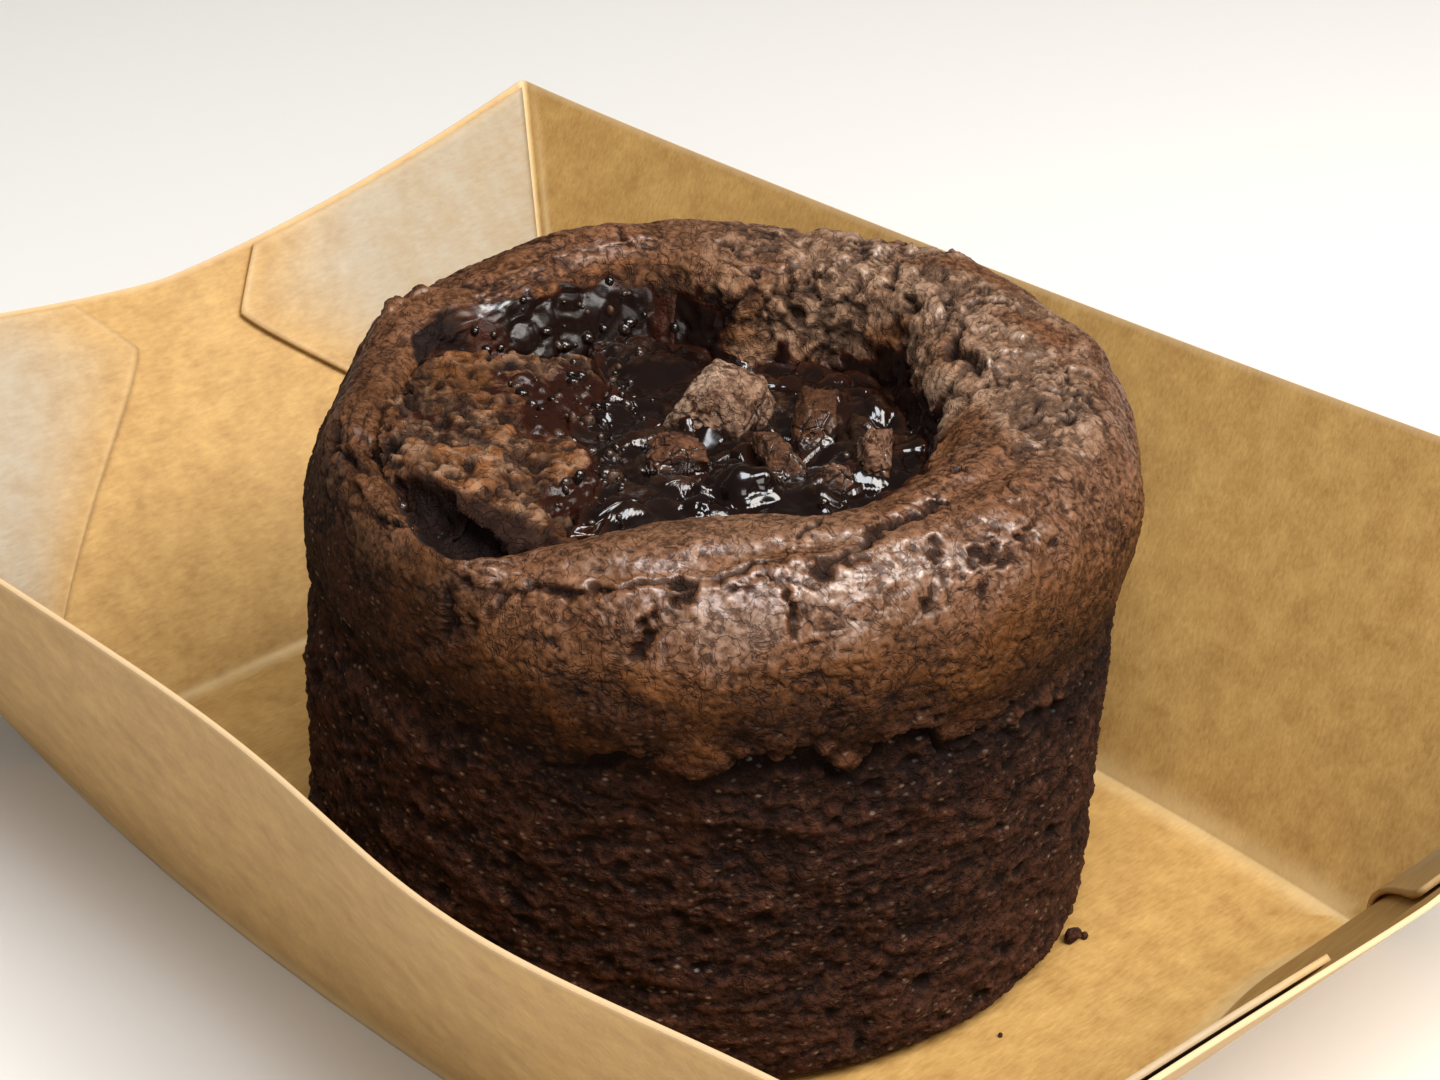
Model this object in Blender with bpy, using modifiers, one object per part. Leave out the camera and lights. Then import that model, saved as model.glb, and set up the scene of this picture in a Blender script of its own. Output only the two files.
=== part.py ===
"""A chocolate souffle turned out of its mould, with a sunken top and a molten middle, in its kraft paper tray.

Lengths in this file are millimetres, and each mesh is scaled to metres as it is made. The tray stands on
z = 0 with its long side along X. The souffle is shaped in its own frame, x to the right and y away from
whoever looks at its front, and is then turned by CAKE_TURN in the tray.
"""

import math

import bmesh
import bpy
import numpy as np
from mathutils import Vector
from mathutils.bvhtree import BVHTree

MM = 0.001
GAP = 0.3                      # clearance between pieces that touch

# Paper tray
BOARD = 0.5                    # thickness of the paperboard
FLOOR_LENGTH = 125.0           # crease to crease, along X
FLOOR_WIDTH = 89.0             # crease to crease, along Y, at the middle of the long sides
FLOOR_BOW = 4.5                # how much narrower each long side is at its ends
RIM_LENGTH = 190.0             # corner to corner, along X
RIM_WIDTH = 125.0              # corner to corner, along Y
CORNER_HEIGHT = 47.8           # the four peaks of the rim
SIDE_HEIGHT = 44.2             # middle of the long sides' rim
END_HEIGHT = 38.8              # middle of the short sides' rim
END_SCOOP = 1.35               # power of the scoop's curve along a short side
END_DRAW = 4.0                 # how far the short sides' rim draws in at the middle
SIDE_BULGE = 3.4               # how far the back side's rim bows out
FRONT_DRAW = 2.0               # how far the front side's rim draws in
FRONT_BULGE = 5.2              # and how far a thumb's width of it is pushed out
FRONT_AT = 0.46                # where, as a share of the half length
FRONT_SPREAD = 0.3
GUSSET_TIP = (0.13, 0.84)      # a gusset's tip: share of the end's half width, and of the wall's height
GUSSET_KNEE = 0.8              # the tip's place in the flap's own rows
GUSSET_FOOT = 0.08             # its lowest row, as a share of the wall's height
GUSSET_TOP = 0.985             # its highest row, just under the rim
GUSSET_CURVE = 1.2             # how its lower edge bends
GUSSET_SLANT = 0.094           # how its cut-off tip slants back to the rim
GUSSET_PROUD = 0.45            # how far a glued gusset stands off the wall
END, BACK, FRONT = range(3)    # the kinds of wall
WALL_ROWS = 3
SIDE_STEPS = 16
END_STEPS = 12

# Souffle
CAKE_TURN = math.radians(45.0)
CAKE_X = 3.0                   # its axis, along the tray's length
WIDEST = 85.0                  # diameter of the crust's widest ring
WIDEST_HEIGHT = 44.5
BODY_RADIUS = 41.3             # the straight side, as the mould left it
FOLD_HEIGHT = 38.5             # where the puffed crust overhangs the side
CREST_RADIUS = 32.5
CREST_HEIGHT = 57.0
LIP_RADIUS = 25.0              # mean edge of the sunken middle
LIP_HEIGHT = 54.2
HOLLOW_HEIGHT = 42.5           # bottom of the sunken middle
LEAN = 0.035                   # sideways drift of the axis for each millimetre of height
CAKE_STEPS = 100
# Edge of the sunken middle: degrees round the top, and its distance from the axis.
LIP_OUTLINE = (
    (0, 23.3), (20, 22.6), (46, 26.2), (66, 24.6), (88, 23.6), (103, 29.5), (116, 31.0), (137, 29.6),
    (152, 31.5), (175, 33.0), (200, 34.6), (218, 35.2), (228, 37.0), (234, 37.6), (240, 33.4), (246, 29.2),
    (256, 25.8), (270, 24.5), (295, 26.0), (310, 25.8), (325, 24.6), (347, 23.2),
)
# Crest above or below CREST_HEIGHT, by degrees round the top.
CREST_CHANGE = (
    (0, 0.8), (20, 1.6), (45, 2.2), (75, 2.5), (100, 2.4), (122, 1.4), (142, -0.2), (165, -2.2), (200, -2.6),
    (232, -3.0), (255, -0.8), (290, 0.0), (330, 0.5),
)
# How far the shoulder swells out or draws in over the widest ring, by degrees round the top.
SHOULDER_SWELL = (
    (0, 1.3), (20, 2.2), (42, 1.8), (62, 1.0), (85, 0.2), (103, 0.5), (122, 1.0), (142, 1.2), (158, 0.5),
    (175, -0.2), (200, -0.2), (232, -0.2), (260, 0.0), (320, 0.3),
)

# Fallen slab of crust on the left of the hollow
SLAB_HIGH = 54.2               # height at its hinge, by the left rim
SLAB_LOW = 50.2                # height at its torn edge
SLAB_HINGE_X = -33.0
SLAB_EDGE_X = -13.5
SLAB_SLOPE_RUN = 5.5           # width of the drop from the torn edge to the hollow's floor
TRENCH_WIDTH = 3.6             # split between the slab and the rim
HOLE_AT = 233.0                # degrees round the top to the deepest part of the split
HOLE_SPREAD = 9.0
HOLE_EXTRA = 3.4               # how much wider the split is there

# Molten chocolate
MELT_LEVEL = 49.0
MELT_CENTRE = (5.0, -1.0)
MELT_STEPS = 40
MELT_RINGS = 7
MELT_FLOOR_CLEARANCE = 0.4     # over the crust under it
MELT_EDGE = 0.9                # thinnest edge of the pool
MELT_EDGE_DROP = 0.5           # how far the pool's edge lies under its level
MELT_LUMP = 0.9
BED_CLEARANCE = 0.45           # round each crumb piece

# Splits and creases in the crust: points (x, y), half width and depth.
SPLITS = (
    (((-19.0, -33.5), (-12.0, -35.6), (-4.0, -36.2), (4.0, -34.0), (12.0, -32.2)), 1.5, 0.7),
    (((15.5, -29.5), (19.0, -26.0), (25.5, -20.0), (30.0, -14.0)), 1.6, 0.9),
    (((26.5, 0.0), (31.0, 4.0), (37.0, 8.0), (40.5, 10.5)), 1.5, 1.0),
    (((9.0, 27.0), (8.0, 31.0), (9.5, 36.0)), 1.4, 1.0),
    (((17.5, 26.0), (22.5, 29.0), (24.0, 33.0)), 1.5, 0.9),
    (((-37.5, -7.0), (-34.0, -9.0), (-31.0, -14.0)), 1.7, 1.4),
)

# Crumb pieces in the melt: name, centre (x, y), size (x, y, z), turn in degrees, tilt in degrees, sink, seed
CHUNKS = (
    ("crumb_wedge", (2.8, 7.0), (9.6, 9.6, 6.2), -24.0, 14.0, 2.2, 3),
    ("crumb_tail", (7.6, -2.8), (3.6, 7.0, 4.2), 18.0, -6.0, 1.8, 5),
    ("crumb_streaked", (11.6, 4.6), (4.4, 8.2, 4.4), -8.0, 8.0, 1.8, 8),
    ("crumb_right", (17.4, -3.2), (3.8, 8.0, 4.8), -6.0, 8.0, 1.8, 11),
    ("crumb_small", (13.2, -7.2), (3.4, 3.4, 3.2), 20.0, 6.0, 1.6, 17),
    ("crumb_front", (-2.2, -2.8), (6.4, 5.8, 3.6), 12.0, 6.0, 1.6, 14),
)

COLOURS = {
    "kraft_board": ((0.50, 0.33, 0.14, 1.0), 0.6),
    "souffle_crumb": ((0.080, 0.034, 0.016, 1.0), 0.75),
    "molten_chocolate": ((0.012, 0.005, 0.003, 1.0), 0.15),
    "torn_crumb": ((0.16, 0.085, 0.045, 1.0), 0.6),
}


def smooth(low, high, value):
    """0 below low, 1 above high, and an S-curve between them."""
    t = np.clip((np.asarray(value, float) - low) / (high - low), 0.0, 1.0)
    return t * t * (3.0 - 2.0 * t)


def round_curve(knots, degrees):
    """A closed Catmull-Rom curve through (degrees, value) knots."""
    at = np.array([k[0] for k in knots], float)
    value = np.array([k[1] for k in knots], float)
    count = len(at)
    degrees = np.mod(degrees, 360.0)
    i = (np.searchsorted(at, degrees, side="right") - 1) % count
    span = np.mod(np.roll(at, -1) - at, 360.0)
    t = np.mod(degrees - at[i], 360.0) / span[i]
    a, b, c, d = (value[(i + k) % count] for k in (-1, 0, 1, 2))
    return b + 0.5 * t * (c - a + t * (2 * a - 5 * b + 4 * c - d + t * (3 * (b - c) + d - a)))


def lattice_noise(points, cell, seed):
    """Smooth noise from -1 to 1: random values on a cubic lattice of this cell, blended between its corners."""
    place = np.asarray(points, float) / cell
    corner = np.floor(place).astype(np.int64)
    share = place - corner
    share = share * share * (3.0 - 2.0 * share)
    total = np.zeros(len(place))
    for dx in (0, 1):
        for dy in (0, 1):
            for dz in (0, 1):
                x, y, z = (corner + (dx, dy, dz)).T
                code = (x * 73856093) ^ (y * 19349663) ^ (z * 83492791) ^ (seed * 374761393)
                code = (code ^ (code >> 13)) * 1274126177 & 0xFFFFFFFF
                code = (code ^ (code >> 16)) & 0xFFFF
                weight = np.abs((1 - dx - share[:, 0]) * (1 - dy - share[:, 1]) * (1 - dz - share[:, 2]))
                total += weight * (code / 32767.5 - 1.0)
    return total


def distance_to_line(x, y, points):
    """How far each (x, y) is from a line through these points."""
    nearest = np.full(np.shape(x), np.inf)
    for (ax, ay), (bx, by) in zip(points, points[1:]):
        ux, uy = bx - ax, by - ay
        t = np.clip(((x - ax) * ux + (y - ay) * uy) / (ux * ux + uy * uy), 0.0, 1.0)
        nearest = np.minimum(nearest, np.hypot(x - ax - t * ux, y - ay - t * uy))
    return nearest


def new_object(name, mesh, collection, colour):
    """An object in the collection, with its own plain material."""
    obj = bpy.data.objects.new(name, mesh)
    collection.objects.link(obj)
    rgba, roughness = COLOURS[colour]
    material = bpy.data.materials.new(name)
    material.use_nodes = True
    shader = material.node_tree.nodes["Principled BSDF"]
    shader.inputs["Base Color"].default_value = rgba
    shader.inputs["Roughness"].default_value = roughness
    material.diffuse_color = rgba
    mesh.materials.clear()
    mesh.materials.append(material)
    mesh.shade_smooth()
    return obj


def evaluated_mesh(obj):
    """The mesh that an object's modifiers make."""
    graph = bpy.context.evaluated_depsgraph_get()
    return bpy.data.meshes.new_from_object(obj.evaluated_get(graph))


def grid_mesh(name, points, closed_across=False):
    """A sheet over a grid of points, rows by columns, whose last column may join its first."""
    rows, columns = points.shape[:2]
    bm = bmesh.new()
    verts = [[bm.verts.new(p) for p in row] for row in points * MM]
    steps = columns if closed_across else columns - 1
    for i in range(rows - 1):
        for j in range(steps):
            k = (j + 1) % columns
            bm.faces.new((verts[i][j], verts[i][k], verts[i + 1][k], verts[i + 1][j]))
    mesh = bpy.data.meshes.new(name)
    bm.to_mesh(mesh)
    bm.free()
    return mesh


def solidify(obj, thickness, offset):
    """Gives a sheet its thickness: offset -1 grows it against its normals, and 1 along them."""
    modifier = obj.modifiers.new("board", "SOLIDIFY")
    modifier.thickness = thickness * MM
    modifier.offset = offset
    modifier.use_even_offset = True


# Paper tray: each wall is a ruled panel from its floor crease to its rim.

def wall_point(wall, across, up):
    """A point of a wall's inner face: wall is END, BACK or FRONT, across runs from -1 to 1 along it and up
    from 0 at the floor crease to 1 at the rim. An end is given on the +X side, and a long side on +Y."""
    across = np.asarray(across, float)
    floor_corner_y = FLOOR_WIDTH / 2 - FLOOR_BOW
    middle = 1.0 - across ** 2
    if wall == END:
        low = (FLOOR_LENGTH / 2 + 0.0 * across, floor_corner_y * across)
        high = (RIM_LENGTH / 2 - END_DRAW * middle, RIM_WIDTH / 2 * across)
        height = END_HEIGHT + (CORNER_HEIGHT - END_HEIGHT) * np.abs(across) ** END_SCOOP
    else:
        bow = SIDE_BULGE * middle
        if wall == FRONT:
            bow = -FRONT_DRAW * middle + FRONT_BULGE * np.exp(-((across - FRONT_AT) / FRONT_SPREAD) ** 2)
        low = (FLOOR_LENGTH / 2 * across, floor_corner_y + FLOOR_BOW * middle)
        high = (RIM_LENGTH / 2 * across, RIM_WIDTH / 2 + bow * middle ** 0.25)
        height = CORNER_HEIGHT - (CORNER_HEIGHT - SIDE_HEIGHT) * middle
    x = low[0] + (high[0] - low[0]) * up
    y = low[1] + (high[1] - low[1]) * up
    return np.stack([x, y, BOARD + (height - BOARD) * up], axis=-1)


def tray_sheet():
    """The folded sheet's inner face: rings of points round the tray from the floor crease to the rim, with
    the floor as one flat face inside the first ring."""
    side = np.linspace(-1.0, 1.0, SIDE_STEPS + 1)[:-1]
    end = np.linspace(-1.0, 1.0, END_STEPS + 1)[:-1]
    rings = []
    for up in np.linspace(0.0, 1.0, WALL_ROWS + 1):
        right = wall_point(END, end, up)
        back = wall_point(BACK, -side, up)
        left = wall_point(END, end, up) * (-1, -1, 1)
        front = wall_point(FRONT, side, up) * (1, -1, 1)
        rings.append(np.concatenate([right, back, left, front]))
    mesh = grid_mesh("tray", np.array(rings), closed_across=True)
    bm = bmesh.new()
    bm.from_mesh(mesh)
    floor = bm.faces.new(list(bm.verts)[:len(rings[0])])
    bmesh.ops.recalc_face_normals(bm, faces=bm.faces)
    if floor.normal.z < 0:
        bmesh.ops.reverse_faces(bm, faces=bm.faces)
    bm.to_mesh(mesh)
    bm.free()
    return mesh


def gusset_sheet(side_x, side_y):
    """A flap of board glued inside an end wall: it runs from the corner fold along the rim, has a cut-off
    tip, and narrows to the floor's corner."""
    bm = bmesh.new()
    bmesh.ops.create_grid(bm, x_segments=5, y_segments=5, size=0.5)
    for vert in bm.verts:
        share = vert.co.x + 0.5
        up = np.interp(vert.co.y + 0.5, (0.0, GUSSET_KNEE, 1.0), (GUSSET_FOOT, GUSSET_TIP[1], GUSSET_TOP))
        below = max(GUSSET_TIP[1] - up, 0.0) / GUSSET_TIP[1]
        above = max(up - GUSSET_TIP[1], 0.0) / (1.0 - GUSSET_TIP[1])
        inner = GUSSET_TIP[0] + (1.0 - GUSSET_TIP[0]) * below ** GUSSET_CURVE + GUSSET_SLANT * above
        x, y, z = wall_point(END, inner + (GUSSET_TOP - inner) * share, up) * MM
        vert.co = (x * side_x, y * side_y, z)
    bm.normal_update()
    bm.faces.ensure_lookup_table()
    if bm.faces[0].normal.x * side_x > 0:
        bmesh.ops.reverse_faces(bm, faces=bm.faces)
    mesh = bpy.data.meshes.new("gusset")
    bm.to_mesh(mesh)
    bm.free()
    return mesh


def build_tray(collection, tools):
    """The tray: one folded sheet with four glued gussets, joined into one solid."""
    tray = new_object("tray", tray_sheet(), collection, "kraft_board")
    solidify(tray, BOARD, -1.0)
    for side_x in (-1, 1):
        for side_y in (-1, 1):
            gusset = new_object("gusset", gusset_sheet(side_x, side_y), tools, "kraft_board")
            solidify(gusset, GUSSET_PROUD + BOARD / 2, (GUSSET_PROUD - BOARD / 2) / (GUSSET_PROUD + BOARD / 2))
            gusset.data = evaluated_mesh(gusset)
            gusset.modifiers.clear()
    union = tray.modifiers.new("gussets", "BOOLEAN")
    union.operation = "UNION"
    union.operand_type = "COLLECTION"
    union.collection = tools
    joined = evaluated_mesh(tray)
    tray.modifiers.clear()
    tray.data = joined
    joined.shade_smooth()
    joined.set_sharp_from_angle(angle=math.radians(25.0))
    for gusset in list(tools.objects):
        bpy.data.objects.remove(gusset)


# Souffle: a turned profile, whose points are then moved by the rules below.

def cake_profile():
    """(radius, height) from the middle of the hollow, over the rim and down the side to the middle of the base."""
    widest = WIDEST / 2
    depth = LIP_HEIGHT - HOLLOW_HEIGHT
    hollow = [(share * LIP_RADIUS, HOLLOW_HEIGHT + rise * depth) for share, rise in
              ((0.0, 0.0), (0.17, 0.0), (0.33, 0.0), (0.48, 0.01), (0.62, 0.05), (0.73, 0.12), (0.82, 0.24),
               (0.88, 0.42), (0.925, 0.62), (0.96, 0.82), (1.0, 1.0))]
    rise = CREST_HEIGHT - LIP_HEIGHT
    reach = CREST_RADIUS - LIP_RADIUS
    rim = [(LIP_RADIUS + 0.28 * reach, LIP_HEIGHT + 0.56 * rise), (LIP_RADIUS + 0.62 * reach, LIP_HEIGHT + 0.88 * rise),
           (CREST_RADIUS, CREST_HEIGHT)]
    drop = CREST_HEIGHT - WIDEST_HEIGHT
    spread = widest - CREST_RADIUS
    for angle in (18, 34, 48, 60, 71, 81, 90):
        turn = math.radians(angle)
        rim.append((CREST_RADIUS + spread * math.sin(turn), WIDEST_HEIGHT + drop * math.cos(turn)))
    tuck = WIDEST_HEIGHT - FOLD_HEIGHT
    under = [(widest - 0.15, WIDEST_HEIGHT - 0.35 * tuck), (widest - 0.55, WIDEST_HEIGHT - 0.7 * tuck),
             (BODY_RADIUS, FOLD_HEIGHT), (BODY_RADIUS - 0.35, FOLD_HEIGHT - 1.8)]
    side = [(BODY_RADIUS - 0.1 + 0.2 * k / 6, (FOLD_HEIGHT - 4.0) * (1 - k / 6.6)) for k in range(7)]
    base = [(BODY_RADIUS - 0.2, 1.4), (BODY_RADIUS - 1.0, 0.35), (BODY_RADIUS - 2.2, 0.0), (22.0, 0.0), (0.0, 0.0)]
    return hollow + rim + under + side + base


def lip_radius(theta):
    """Edge of the hollow at each angle."""
    return round_curve(LIP_OUTLINE, np.degrees(theta))


def slab_height(x, y, theta, inside):
    """(height of the fallen slab, its share of the surface) at points this far inside the lip."""
    degrees = np.mod(np.degrees(theta), 360.0)
    along = np.clip((x - SLAB_HINGE_X) / (SLAB_EDGE_X - SLAB_HINGE_X), 0.0, 1.3)
    height = SLAB_HIGH + (SLAB_LOW - SLAB_HIGH) * along - 0.9 * smooth(0.0, 16.0, np.abs(y + 2.0))
    hinged = smooth(156, 170, degrees) * (1 - smooth(188, 198, degrees))
    split = TRENCH_WIDTH + HOLE_EXTRA * np.exp(-((degrees - HOLE_AT) / HOLE_SPREAD) ** 2)
    clear = smooth(0.0, 1.0, (inside / split - 0.45) / 0.55)
    share = (1 - smooth(SLAB_EDGE_X, SLAB_EDGE_X + SLAB_SLOPE_RUN, x)) * np.maximum(clear, hinged)
    return height, share


def cake_points(points):
    """Moves the turned profile's points to the souffle's own uneven shape."""
    x, y, z = points.T
    radius, theta = np.hypot(x, y), np.arctan2(y, x)
    widest = WIDEST / 2
    lip = lip_radius(theta)
    on_top = z >= WIDEST_HEIGHT - 0.01
    on_top |= (radius <= LIP_RADIUS) & (z > HOLLOW_HEIGHT - 1.0)
    inner = radius * lip / LIP_RADIUS
    outer = lip + (radius - LIP_RADIUS) * (widest - lip) / (widest - LIP_RADIUS)
    new_radius = np.where(on_top, np.where(radius <= LIP_RADIUS, inner, outer), radius)
    change = round_curve(CREST_CHANGE, np.degrees(theta))
    rim_share = smooth(LIP_RADIUS * 0.86, LIP_RADIUS, radius) * smooth(WIDEST_HEIGHT, CREST_HEIGHT - 4.0, z)
    new_z = z + change * rim_share * on_top
    x, y = new_radius * np.cos(theta), new_radius * np.sin(theta)
    # Fallen slab inside the lip
    slab, share = slab_height(x, y, theta, lip - new_radius)
    share = share * (on_top & (radius <= LIP_RADIUS))
    new_z = new_z + share * (slab - new_z)
    # Splits and creases in the crust
    for line, half_width, depth in SPLITS:
        near = distance_to_line(x, y, line) / half_width
        new_z = new_z - depth * np.exp(-near ** 2) * on_top
    # Crags: coarse lumps on the crust, finer grain down the side, none under the base
    place = np.stack([x, y, new_z], axis=-1)
    lumps = lattice_noise(place, 9.0, 21) * 0.55 + lattice_noise(place, 4.6, 22) * 0.35
    grain = lattice_noise(place * (1.0, 1.0, 1.6), 5.0, 23) * 0.34 + lattice_noise(place, 14.0, 24) * 0.4
    crust = smooth(FOLD_HEIGHT - 1.0, FOLD_HEIGHT + 5.0, z)
    outward = lumps * crust * (1 - 0.6 * smooth(50.0, 56.0, z)) + grain * (1 - crust)
    outward = outward * smooth(0.0, 5.0, z) * (radius > LIP_RADIUS)
    upward = lumps * on_top * smooth(48.0, 53.0, z)
    # The crust's edge steps out over the side, most of all on the left.
    degrees = np.mod(np.degrees(theta), 360.0)
    left = smooth(140, 175, degrees) * (1 - smooth(215, 250, degrees))
    pinch = np.exp(-((z - FOLD_HEIGHT + 2.0) / 2.4) ** 2)
    outward = outward - left * (0.9 * pinch + 0.7 * smooth(36.0, 42.0, z)) * (radius > LIP_RADIUS)
    swell = round_curve(SHOULDER_SWELL, degrees) * smooth(WIDEST_HEIGHT - 2.0, WIDEST_HEIGHT + 6.0, z)
    outward = outward + swell * smooth(LIP_RADIUS + 3.0, CREST_RADIUS + 3.0, radius)
    new_radius = new_radius + outward
    x = new_radius * np.cos(theta) + LEAN * new_z
    return np.stack([x, new_radius * np.sin(theta), new_z + upward], axis=-1)


def build_cake(collection):
    """The souffle's baked body as one solid."""
    mesh = bpy.data.meshes.new("profile")
    profile = cake_profile()
    mesh.from_pydata([(r * MM, 0.0, z * MM) for r, z in profile],
                     [(i, i + 1) for i in range(len(profile) - 1)], [])
    turned = bpy.data.objects.new("profile", mesh)
    collection.objects.link(turned)
    screw = turned.modifiers.new("turn", "SCREW")
    screw.steps = screw.render_steps = CAKE_STEPS
    screw.use_merge_vertices = True
    screw.merge_threshold = 0.00001
    cake_mesh = evaluated_mesh(turned)
    bpy.data.objects.remove(turned)
    coordinates = np.empty(len(cake_mesh.vertices) * 3)
    cake_mesh.vertices.foreach_get("co", coordinates)
    moved = cake_points(coordinates.reshape(-1, 3) / MM) * MM
    cake_mesh.vertices.foreach_set("co", moved.ravel())
    cake_mesh.update()
    cake = new_object("souffle", cake_mesh, collection, "souffle_crumb")
    place_in_tray(cake)
    return cake_mesh


def place_in_tray(obj):
    """Stands a piece of the souffle, shaped about its own axis, on the tray's floor."""
    obj.location = (CAKE_X * MM, 0.0, (BOARD + GAP) * MM)
    obj.rotation_euler = (0.0, 0.0, CAKE_TURN)


# Molten chocolate: a pool that fills the hollow up to an uneven level.

def melt_top(x, y):
    """Height of the chocolate's surface: a level pool with soft lumps."""
    place = np.stack([x, y, 0.0 * x], axis=-1).reshape(-1, 3)
    lumps = lattice_noise(place, 5.2, 31) + 0.4 * lattice_noise(place, 2.9, 32)
    return MELT_LEVEL + MELT_LUMP * lumps.reshape(np.shape(x))


def cake_height(tree, x, y):
    """Highest point of the baked crust round each (x, y), looking straight down on it."""
    height = np.zeros(np.shape(x))
    for place in np.ndindex(*np.shape(x)):
        for dx, dy in ((0.0, 0.0), (0.5, 0.0), (-0.5, 0.0), (0.0, 0.5), (0.0, -0.5)):
            start = Vector(((x[place] + dx) * MM, (y[place] + dy) * MM, 0.1))
            hit = tree.ray_cast(start, Vector((0.0, 0.0, -1.0)))[0]
            height[place] = max(height[place], hit.z / MM)
    return height


def melt_edge(tree, turn):
    """How far the pool reaches from its centre in each direction, up to where it would be too thin."""
    reach = np.arange(2.0, 30.0, 0.25)
    x = MELT_CENTRE[0] + np.outer(np.cos(turn), reach)
    y = MELT_CENTRE[1] + np.outer(np.sin(turn), reach)
    thick = MELT_LEVEL - MELT_EDGE_DROP - cake_height(tree, x, y) - MELT_FLOOR_CLEARANCE > MELT_EDGE
    return reach[np.argmin(thick, axis=1)] - 0.25


def build_melt(collection, tools, cake_mesh):
    """The pool of chocolate, with a bed cut in it for each crumb piece."""
    tree = BVHTree.FromPolygons([v.co for v in cake_mesh.vertices], [p.vertices for p in cake_mesh.polygons])
    turn = np.linspace(0.0, 2 * math.pi, MELT_STEPS, endpoint=False)
    edge = melt_edge(tree, turn)
    share = (np.arange(MELT_RINGS) + 1.0) / MELT_RINGS
    x = MELT_CENTRE[0] + np.outer(share, edge * np.cos(turn))
    y = MELT_CENTRE[1] + np.outer(share, edge * np.sin(turn))
    floor = np.stack([x, y, cake_height(tree, x, y) + MELT_FLOOR_CLEARANCE], axis=-1)
    top = np.stack([x, y, melt_top(x, y)], axis=-1)
    top[-1, :, 2] = np.maximum(MELT_LEVEL - MELT_EDGE_DROP, floor[-1, :, 2] + MELT_EDGE)
    mesh = grid_mesh("melt", np.concatenate([top, floor[::-1]]), closed_across=True)
    bm = bmesh.new()
    bm.from_mesh(mesh)
    rim = list(bm.verts)
    for ring, height in ((rim[:MELT_STEPS], melt_top(*np.array(MELT_CENTRE)[:, None])[0]),
                         (rim[-MELT_STEPS:], floor[0, :, 2].mean())):
        pole = bm.verts.new((MELT_CENTRE[0] * MM, MELT_CENTRE[1] * MM, height * MM))
        for first, second in zip(ring, ring[1:] + ring[:1]):
            bm.faces.new((pole, first, second))
    bmesh.ops.recalc_face_normals(bm, faces=bm.faces)
    bm.to_mesh(mesh)
    bm.free()
    melt = new_object("molten_chocolate", mesh, collection, "molten_chocolate")
    for number, chunk in enumerate(CHUNKS):
        cutter = bpy.data.objects.new(f"bed_{number}", chunk_mesh(chunk, BED_CLEARANCE))
        cutter.hide_render = True
        cutter.display_type = "WIRE"
        tools.objects.link(cutter)
        place_in_tray(cutter)
        bed = melt.modifiers.new(f"bed_{number}", "BOOLEAN")
        bed.operation = "DIFFERENCE"
        bed.solver = "MANIFOLD"
        bed.object = cutter
    place_in_tray(melt)


# Crumb pieces: torn blocks of sponge with broken faces and rounded edges.

def chunk_mesh(chunk, grow=0.0):
    """A torn block: a cube cut finer, rounded a little and pushed about by noise. grow adds to it all round."""
    name, centre, size, turn, tilt, sink, seed = chunk
    bm = bmesh.new()
    bmesh.ops.create_cube(bm, size=2.0)
    bmesh.ops.subdivide_edges(bm, edges=bm.edges, cuts=3, use_grid_fill=True)
    unit = np.array([v.co for v in bm.verts])
    ball = unit / np.linalg.norm(unit, axis=1)[:, None]
    block = 0.52 * unit + 0.48 * ball * 1.15
    taper = 1.0 - 0.22 * block[:, 2:3]
    block = block * np.concatenate([taper, taper, np.ones_like(taper)], axis=1)
    half = np.array(size) / 2
    points = block * half
    points += points / np.linalg.norm(points, axis=1)[:, None] * (
        0.7 * lattice_noise(points + 40.0 * seed, 3.4, seed)[:, None] + grow)
    a, b = math.radians(turn), math.radians(tilt)
    lean = np.array([[math.cos(b), 0, math.sin(b)], [0, 1, 0], [-math.sin(b), 0, math.cos(b)]])
    spin = np.array([[math.cos(a), -math.sin(a), 0], [math.sin(a), math.cos(a), 0], [0, 0, 1]])
    points = points @ lean.T @ spin.T
    points += (centre[0], centre[1], MELT_LEVEL - sink - grow - points[:, 2].min())
    for vert, place in zip(bm.verts, points * MM):
        vert.co = place
    mesh = bpy.data.meshes.new(name)
    bm.to_mesh(mesh)
    bm.free()
    return mesh


def build_chunks(collection):
    """Each crumb piece as its own solid."""
    for chunk in CHUNKS:
        piece = new_object(chunk[0], chunk_mesh(chunk), collection, "torn_crumb")
        place_in_tray(piece)


def main():
    for obj in list(bpy.data.objects):
        bpy.data.objects.remove(obj)
    collection = bpy.data.collections.new("souffle_in_tray")
    tools = bpy.data.collections.new("cutters")
    for made in (collection, tools):
        bpy.context.scene.collection.children.link(made)
    build_tray(collection, tools)
    cake_mesh = build_cake(collection)
    build_melt(collection, tools, cake_mesh)
    build_chunks(collection)


if __name__ == "__main__":
    main()
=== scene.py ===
"""Looks of a chocolate souffle with a molten middle, standing in its kraft paper tray.

Lengths are millimetres, except where a name ends in _m or _M, and meshes are scaled to metres when made. The
souffle is shaped in its own frame: x to the right, y away from whoever looks at its front, z up from its
base. Angles round it are degrees from x towards y, so its front is at 270. The tray's frame is the world's.
A pattern's scale in a finish is how many of its lumps stand on one metre. The last number in a call for noise
or cells is a seed, which only picks one pattern of that kind.
"""

import logging
import math
from dataclasses import dataclass
from enum import Enum

import bpy
import numpy as np
from mathutils import Matrix, Vector


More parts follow.
